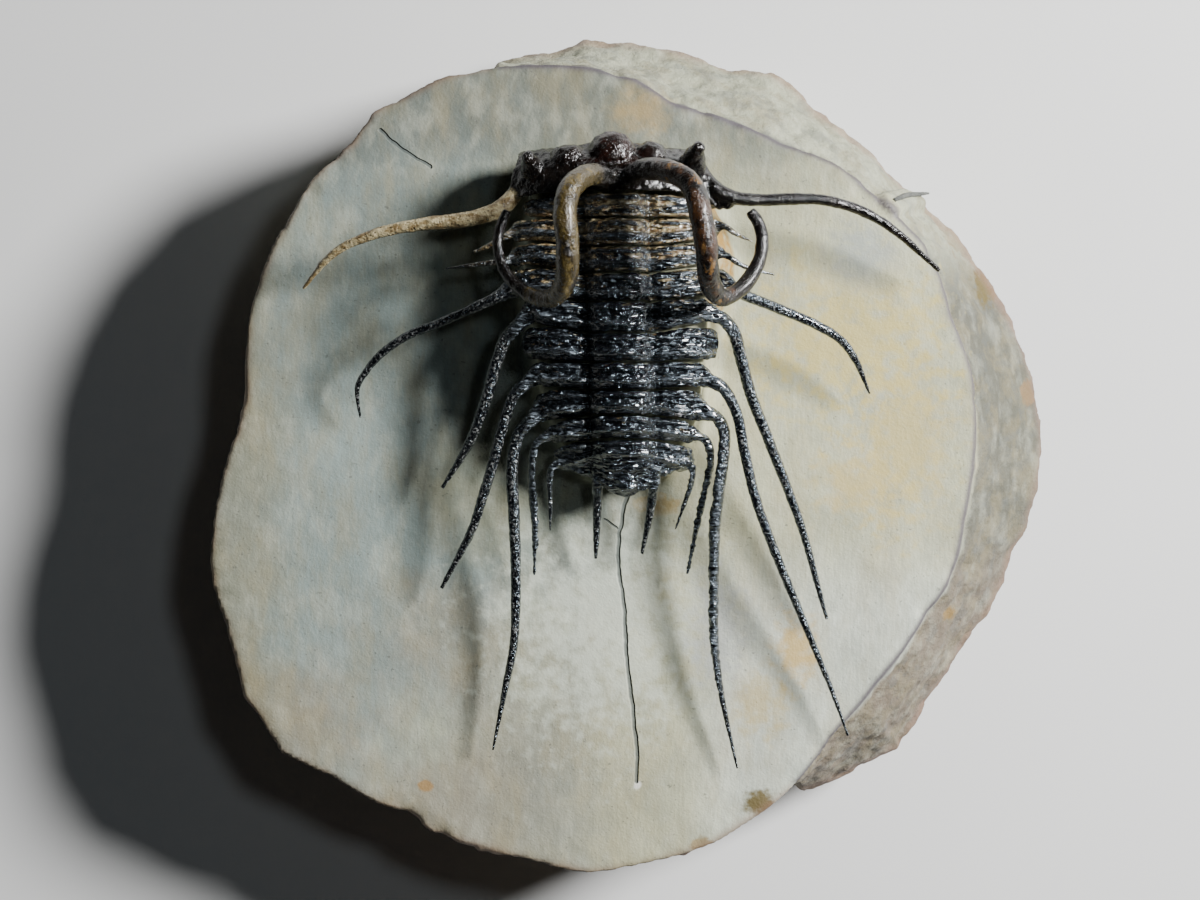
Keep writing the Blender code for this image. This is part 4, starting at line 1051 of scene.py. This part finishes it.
def limestone(groups):
    material, tree, shader, position = new_material("pale_limestone", 0.0)
    rim, brink, foot_tan = (zone(tree, name) for name in ("rim", "brink", "tan"))
    part = put(tree, "SeparateXYZ", {}, {0: position})
    x, y, z = part.outputs[0], part.outputs[1], part.outputs[2]

    def mottle(size, threshold, softness, stretch=(1.0, 1.0, 1.0), ragged=0.6):
        feeds = {"Position": position, "Size": size, "Threshold": threshold, "Softness": softness,
                 "Stretch": stretch, "Raggedness": ragged}
        return place_group(tree, groups["mottling"], feeds)

    def tint(shade, mask, strength, red, green, blue):
        return blend_colours(tree, maths(tree, "MULTIPLY", mask, strength), shade, colour(red, green, blue))

    broad = mottle(24.0, 0.5, 0.2).outputs["Noise"]
    sway = maths(tree, "MULTIPLY", maths(tree, "SUBTRACT", broad, 0.5), 90.0)
    # The face runs from grey-green on the left to cream on the right: partly the stone's own tones, partly painted
    # light fall-off, darker on the left away from the lamp and brighter on the right towards it.
    side = reshape(tree, maths(tree, "ADD", x, sway), -30.0, 6.0)
    shade = blend_colours(tree, side, colour(0.25, 0.315, 0.295), colour(0.51, 0.51, 0.33))
    # Painted light: the lower right corner of the face is made paler and brighter.
    lit_corner = maths(tree, "MULTIPLY", reshape(tree, x, 4.0, 16.0), reshape(tree, y, -10.0, -24.0))
    shade = tint(shade, lit_corner, 0.85, 0.62, 0.66, 0.57)
    low = reshape(tree, maths(tree, "ADD", y, sway), -16.0, -46.0)
    shade = tint(shade, maths(tree, "MULTIPLY", low, reshape(tree, x, 14.0, -30.0)), 0.75, 0.30, 0.24, 0.155)
    outer_left = reshape(tree, maths(tree, "ADD", x, maths(tree, "MULTIPLY", sway, 0.3)), -44.0, -54.0)
    shade = tint(shade, outer_left, 0.6, 0.26, 0.23, 0.125)
    head_end = reshape(tree, maths(tree, "ADD", y, maths(tree, "MULTIPLY", sway, 0.3)), 30.0, 46.0)
    shade = tint(shade, head_end, 0.9, 0.085, 0.098, 0.082)
    clouds = mottle(9.0, 0.52, 0.22).outputs["Mask"]
    shade = tint(shade, clouds, 0.36, 0.14, 0.165, 0.15)
    warm = mottle(6.0, 0.55, 0.15, (0.7, 1.9, 1.0)).outputs["Mask"]
    shade = tint(shade, warm, 0.3, 0.38, 0.30, 0.13)
    wall = reshape(tree, z, 29.3, 27.8)
    head_band = reshape(tree, y, 20.0, 34.0)
    broken = blend_colours(tree, head_band, colour(0.07, 0.068, 0.05), colour(0.37, 0.38, 0.27))
    broken = tint(broken, reshape(tree, y, -8.0, -24.0), 0.9, 0.17, 0.125, 0.085)
    broken = tint(broken, mottle(5.0, 0.52, 0.08).outputs["Mask"], 0.5, 0.20, 0.165, 0.085)
    broken = tint(broken, mottle(3.0, 0.56, 0.06, (1.0, 1.0, 1.6)).outputs["Mask"], 0.35, 0.08, 0.095, 0.10)
    shade = blend_colours(tree, maths(tree, "MULTIPLY", wall, 0.95), shade, broken)
    pale = mottle(3.2, 0.58, 0.14, (0.8, 1.5, 1.0)).outputs["Mask"]
    shade = tint(shade, pale, 0.3, 0.52, 0.53, 0.42)
    brushed = mottle(0.8, 0.5, 0.16, (0.4, 3.0, 1.0), 0.7).outputs["Mask"]
    shade = tint(shade, brushed, 0.26, 0.15, 0.15, 0.115)
    specks = mottle(0.6, 0.68, 0.03, ragged=0.5).outputs["Mask"]
    shade = tint(shade, specks, 0.5, 0.08, 0.08, 0.07)
    for centre, reach, ragged, stain_shade, strength in STAINS_AND_SHADE:
        soft = 0.25 if min(reach[:2]) < 3.0 else 0.6
        stain = place_group(tree, groups["stain"], {"Position": position, "Centre": centre, "Reach": reach,
                                                    "Raggedness": ragged, "Softness": soft})
        shade = tint(shade, stain.outputs[0], strength, *stain_shade)
    ochre = maths(tree, "MULTIPLY", foot_tan, mottle(1.6, 0.42, 0.2).outputs["Mask"])
    shade = tint(shade, ochre, 0.95, 0.28, 0.15, 0.02)
    shade = tint(shade, brink, 0.55, 0.25, 0.14, 0.095)
    shade = tint(shade, rim, 0.95, 0.075, 0.062, 0.075)

    flat = put(tree, "VectorMath", {"operation": "MULTIPLY"}, {0: position, 1: (1.0, 1.0, 0.0)}).outputs[0]
    jitter = put(tree, "TexNoise", {}, {"Vector": position, "Scale": 0.35, "Detail": 2.0}).outputs["Color"]
    centred = put(tree, "VectorMath", {"operation": "SUBTRACT"}, {0: jitter, 1: (0.5, 0.5, 0.5)}).outputs[0]
    shaken = put(tree, "VectorMath", {"operation": "MULTIPLY_ADD"},
                 {0: centred, 1: (0.8, 0.8, 0.0), 2: flat}).outputs[0]
    crack = None
    for width, route in ((0.6, CRACK), (0.3, SIDE_CRACKS[0]), (0.5, SIDE_CRACKS[1])):
        for start, end in zip(route, route[1:]):
            feeds = {"Position": shaken, "Start": (*start, 0.0), "End": (*end, 0.0), "Width": width}
            stretch = place_group(tree, groups["crack_stretch"], feeds).outputs[0]
            crack = maths(tree, "MAXIMUM", crack, stretch) if crack else stretch
    crack = maths(tree, "MULTIPLY", crack, reshape(tree, z, 26.0, 28.5))
    shade = tint(shade, crack, 0.8, 0.075, 0.09, 0.085)
    tree.links.new(shade, shader.inputs["Base Color"])
    dull = reshape(tree, broad, 0.3, 0.7, 0.55, 0.8)
    tree.links.new(dull, shader.inputs["Roughness"])
    grit = place_group(tree, groups["grains"], {"Position": position, "Spacing": 0.45, "Roundness": 0.3})
    waves = maths(tree, "MULTIPLY", mottle(2.2, 0.5, 0.2).outputs["Noise"], reshape(tree, wall, 0.0, 1.0, 0.2, 1.0))
    raise_bumps(tree, shader, [(waves, 0.6), (grit.outputs["Height"], 0.05),
                               (maths(tree, "SUBTRACT", 1.0, crack), 0.25)])
    return material


def body_shell(groups):
    material, tree, shader, position = new_material("blue_black_shell", 1.0)
    shader.inputs["Coat IOR"].default_value = 1.7
    shader.inputs["Coat Roughness"].default_value = 0.07
    shader.inputs["IOR"].default_value = 1.7
    shader.inputs["Specular Tint"].default_value = colour(0.70, 0.87, 1.0)
    hollow, bare, spine = (zone(tree, name) for name in ("hollow", "bare", "spine"))
    part = put(tree, "SeparateXYZ", {}, {0: position})
    back = maths(tree, "SUBTRACT", 1.0, spine)

    def mottle(size, threshold, softness, stretch=(1.0, 1.0, 1.0), ragged=0.6):
        feeds = {"Position": position, "Size": size, "Threshold": threshold, "Softness": softness,
                 "Stretch": stretch, "Raggedness": ragged}
        return place_group(tree, groups["mottling"], feeds)

    grain = place_group(tree, groups["grains"], {"Position": position, "Spacing": 0.42, "Roundness": 0.7})
    shade = blend_colours(tree, mottle(3.0, 0.5, 0.2).outputs["Mask"], colour(0.0015, 0.002, 0.0035),
                          colour(0.004, 0.0042, 0.005))
    # Silver-grey patches on the open back, weaker along the middle lobe: partly wear of the shell, partly painted
    # sheen in place of glints on the pleurae.
    worn = mottle(0.7, 0.53, 0.07, (2.6, 0.5, 1.0), 0.75).outputs["Mask"]
    open_back = maths(tree, "MULTIPLY", back, maths(tree, "SUBTRACT", 1.0, hollow))
    worn = maths(tree, "MULTIPLY", worn, open_back)
    beside = reshape(tree, maths(tree, "ABSOLUTE", maths(tree, "ADD", part.outputs[0], 2.0)), 3.0, 6.0, 0.15, 0.65)
    shade = blend_colours(tree, maths(tree, "MULTIPLY", worn, beside), shade, colour(0.21, 0.245, 0.28))
    # Painted glints: pale silver specks on the spines.
    glint_specks = mottle(0.35, 0.58, 0.05, ragged=0.7).outputs["Mask"]
    shade = blend_colours(tree, maths(tree, "MULTIPLY", maths(tree, "MULTIPLY", glint_specks, spine), 0.7),
                          shade, colour(0.33, 0.34, 0.33))

    front = reshape(tree, part.outputs[1], 17.0, 31.0, 0.0, 0.2)
    patches = mottle(1.6, 0.6, 0.05, (2.4, 0.7, 1.0), 0.75)
    lifted = maths(tree, "ADD", patches.outputs["Noise"], front)
    off_middle = reshape(tree, maths(tree, "ABSOLUTE", maths(tree, "ADD", part.outputs[0], 2.3)),
                         3.5, 6.0, 0.3, 1.0)
    residue = maths(tree, "MULTIPLY", reshape(tree, lifted, 0.60, 0.66),
                    maths(tree, "MULTIPLY", reshape(tree, hollow, 0.35, 0.75), off_middle))
    flecks = mottle(0.4, 0.52, 0.04, (1.6, 0.7, 1.0), 0.7).outputs["Mask"]
    tan = maths(tree, "MAXIMUM", residue, maths(tree, "MULTIPLY", bare, maths(tree, "SUBTRACT", 1.0, flecks)))
    tan_shade = blend_colours(tree, mottle(0.7, 0.5, 0.12).outputs["Mask"], colour(0.20, 0.11, 0.035),
                              colour(0.55, 0.45, 0.24))
    shade = blend_colours(tree, maths(tree, "MULTIPLY", tan, 0.85), shade, tan_shade)
    tree.links.new(shade, shader.inputs["Base Color"])
    filled = reshape(tree, hollow, 0.25, 0.75)
    gloss = reshape(tree, mottle(0.9, 0.5, 0.2, (2.0, 0.6, 1.0)).outputs["Noise"], 0.35, 0.65, 0.05, 0.13)
    dull = maths(tree, "MAXIMUM", maths(tree, "MULTIPLY", filled, 0.1), maths(tree, "MULTIPLY", spine, 0.08))
    rough_value = maths(tree, "ADD", gloss, maths(tree, "MAXIMUM", dull, maths(tree, "MULTIPLY", tan, 0.4)))
    tree.links.new(rough_value, shader.inputs["Roughness"])
    varnish = maths(tree, "SUBTRACT", 0.9, maths(tree, "MAXIMUM", maths(tree, "MULTIPLY", filled, 0.4),
                                                 maths(tree, "MULTIPLY", spine, 0.3)))
    tree.links.new(varnish, shader.inputs["Coat Weight"])
    crackle = mottle(0.62, 0.5, 0.2, (2.2, 0.7, 0.8), 0.3).outputs["Noise"]
    pitted = maths(tree, "MULTIPLY", grain.outputs["Height"], reshape(tree, spine, 0.0, 1.0, 0.35, 1.0))
    raise_bumps(tree, shader, [(maths(tree, "MULTIPLY", crackle, back), 1.5), (pitted, 0.14)])
    return material


def head_shell(groups):
    material, tree, shader, position = new_material("brown_black_shell", 0.3)
    olive, rust, bare, red = (zone(tree, name) for name in ("olive", "rust", "bare", "red"))

    def mottle(size, threshold, softness, stretch=(1.0, 1.0, 1.0), ragged=0.6):
        feeds = {"Position": position, "Size": size, "Threshold": threshold, "Softness": softness,
                 "Stretch": stretch, "Raggedness": ragged}
        return place_group(tree, groups["mottling"], feeds)

    grain = place_group(tree, groups["grains"], {"Position": position, "Spacing": 0.38, "Roundness": 0.5})
    shade = blend_colours(tree, mottle(1.8, 0.5, 0.12).outputs["Mask"], colour(0.0015, 0.0012, 0.001),
                          colour(0.006, 0.004, 0.003))
    deep_red = maths(tree, "MULTIPLY", red, mottle(1.4, 0.46, 0.12).outputs["Mask"])
    shade = blend_colours(tree, maths(tree, "MULTIPLY", deep_red, 0.8), shade, colour(0.020, 0.006, 0.004))
    olive_base = maths(tree, "MULTIPLY", olive, mottle(3.2, 0.42, 0.1, (0.8, 1.6, 1.0)).outputs["Mask"])
    shade = blend_colours(tree, maths(tree, "MULTIPLY", olive_base, 0.9), shade, colour(0.050, 0.036, 0.011))
    ochre = maths(tree, "MULTIPLY", olive, mottle(1.5, 0.56, 0.07, (0.8, 1.5, 1.0), 0.7).outputs["Mask"])
    shade = blend_colours(tree, maths(tree, "MULTIPLY", ochre, 0.6), shade, colour(0.15, 0.11, 0.035))
    rust_base = maths(tree, "MULTIPLY", rust, mottle(2.4, 0.52, 0.07, (0.8, 1.5, 1.0)).outputs["Mask"])
    shade = blend_colours(tree, maths(tree, "MULTIPLY", rust_base, 0.85), shade, colour(0.050, 0.022, 0.009))
    amber = maths(tree, "MULTIPLY", rust, mottle(2.0, 0.6, 0.05, (0.8, 1.5, 1.0), 0.6).outputs["Mask"])
    shade = blend_colours(tree, maths(tree, "MULTIPLY", amber, 0.7), shade, colour(0.19, 0.10, 0.03))
    flecks = mottle(0.35, 0.6, 0.06, (1.6, 1.0, 1.0), 0.75).outputs["Mask"]
    tan = maths(tree, "MULTIPLY", bare, maths(tree, "SUBTRACT", 1.0, flecks))
    tan_shade = blend_colours(tree, mottle(0.9, 0.5, 0.12, (2.0, 1.0, 1.0)).outputs["Mask"],
                              colour(0.22, 0.15, 0.06), colour(0.58, 0.49, 0.28))
    shade = blend_colours(tree, maths(tree, "MULTIPLY", tan, 0.85), shade, tan_shade)
    # Grey flecks: partly wear of the shell, partly painted sheen.
    worn = mottle(0.6, 0.62, 0.05, ragged=0.75).outputs["Mask"]
    shade = blend_colours(tree, maths(tree, "MULTIPLY", worn, 0.15), shade, colour(0.15, 0.145, 0.14))
    tree.links.new(shade, shader.inputs["Base Color"])
    gloss = reshape(tree, mottle(1.2, 0.5, 0.2).outputs["Noise"], 0.35, 0.65, 0.1, 0.24)
    rough_value = maths(tree, "ADD", gloss, maths(tree, "MULTIPLY", tan, 0.3))
    tree.links.new(rough_value, shader.inputs["Roughness"])
    raise_bumps(tree, shader, [(mottle(0.8, 0.5, 0.2).outputs["Noise"], 0.25),
                               (grain.outputs["Height"], 0.09)])
    return material


def dull_shell(groups):
    """The loose spine, which was left unpolished."""
    material, tree, shader, position = new_material("dull_grey_shell", 0.0)
    feeds = {"Position": position, "Size": 1.4, "Threshold": 0.5, "Softness": 0.15}
    patches = place_group(tree, groups["mottling"], feeds).outputs["Mask"]
    grain = place_group(tree, groups["grains"], {"Position": position, "Spacing": 0.3, "Roundness": 0.5})
    shade = blend_colours(tree, patches, colour(0.045, 0.048, 0.042), colour(0.11, 0.112, 0.098))
    shade = blend_colours(tree, maths(tree, "MULTIPLY", grain.outputs["Tops"], 0.3), shade, colour(0.20, 0.20, 0.18))
    tree.links.new(shade, shader.inputs["Base Color"])
    tree.links.new(reshape(tree, patches, 0.0, 1.0, 0.5, 0.65), shader.inputs["Roughness"])
    raise_bumps(tree, shader, [(grain.outputs["Height"], 0.08)])
    return material


# Studio
def floor_material():
    material, tree, shader, position = new_material("pale_paper", 0.0)
    noise = put(tree, "TexNoise", {}, {"Vector": position, "Scale": 0.02, "Detail": 2.0}).outputs[0]
    shade = blend_colours(tree, noise, colour(0.70, 0.70, 0.69), colour(0.76, 0.76, 0.75))
    tree.links.new(shade, shader.inputs["Base Color"])
    shader.inputs["Roughness"].default_value = 0.9
    return material


def lamp(name, place, aim, size, watts):
    light = bpy.data.lights.new(name, "AREA")
    light.shape = "DISK"
    light.size = size
    light.energy = watts
    stand = bpy.data.objects.new(name, light)
    stand.location = place
    stand.rotation_euler = (Vector(aim) - Vector(place)).to_track_quat("-Z", "Y").to_euler()
    bpy.context.scene.collection.objects.link(stand)
    return light


def set_studio():
    mesh = bpy.data.meshes.new("floor")
    half = 1.5
    mesh.from_pydata([(-half, -half, 0.0), (half, -half, 0.0), (half, half, 0.0), (-half, half, 0.0)],
                     [], [(0, 1, 2, 3)])
    mesh.materials.append(floor_material())
    floor = bpy.data.objects.new("floor", mesh)
    bpy.context.scene.collection.objects.link(floor)
    lamp("key_lamp", (0.38, 0.165, 0.36), (0.0, 0.0, 0.035), 0.15, 8.4)
    top = lamp("top_lamp", (0.09, 0.08, 0.47), (0.0, 0.01, 0.04), 0.05, 0.12)
    top.color = (0.82, 0.92, 1.0)
    world = bpy.data.worlds.new("soft_room")
    world.use_nodes = True
    backdrop = world.node_tree.nodes["Background"]
    backdrop.inputs["Color"].default_value = (0.95, 0.97, 1.0, 1.0)
    backdrop.inputs["Strength"].default_value = 0.012
    bpy.context.scene.world = world
    camera = bpy.data.cameras.new("camera")
    camera.lens = CAMERA_LENS
    stand = bpy.data.objects.new("camera", camera)
    stand.location = Vector(CAMERA_PLACE) * MM
    bpy.context.scene.collection.objects.link(stand)
    bpy.context.scene.camera = stand


def main():
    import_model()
    groups = {"mottling": mottling_group(), "grains": grains_group(), "stain": stain_group(),
              "crack_stretch": crack_group()}
    make_stone(limestone(groups))
    dark_shell = body_shell(groups)
    make_plates(dark_shell)
    make_tail(dark_shell)
    make_fragment(dull_shell(groups))
    make_head(head_shell(groups))
    set_studio()


main()
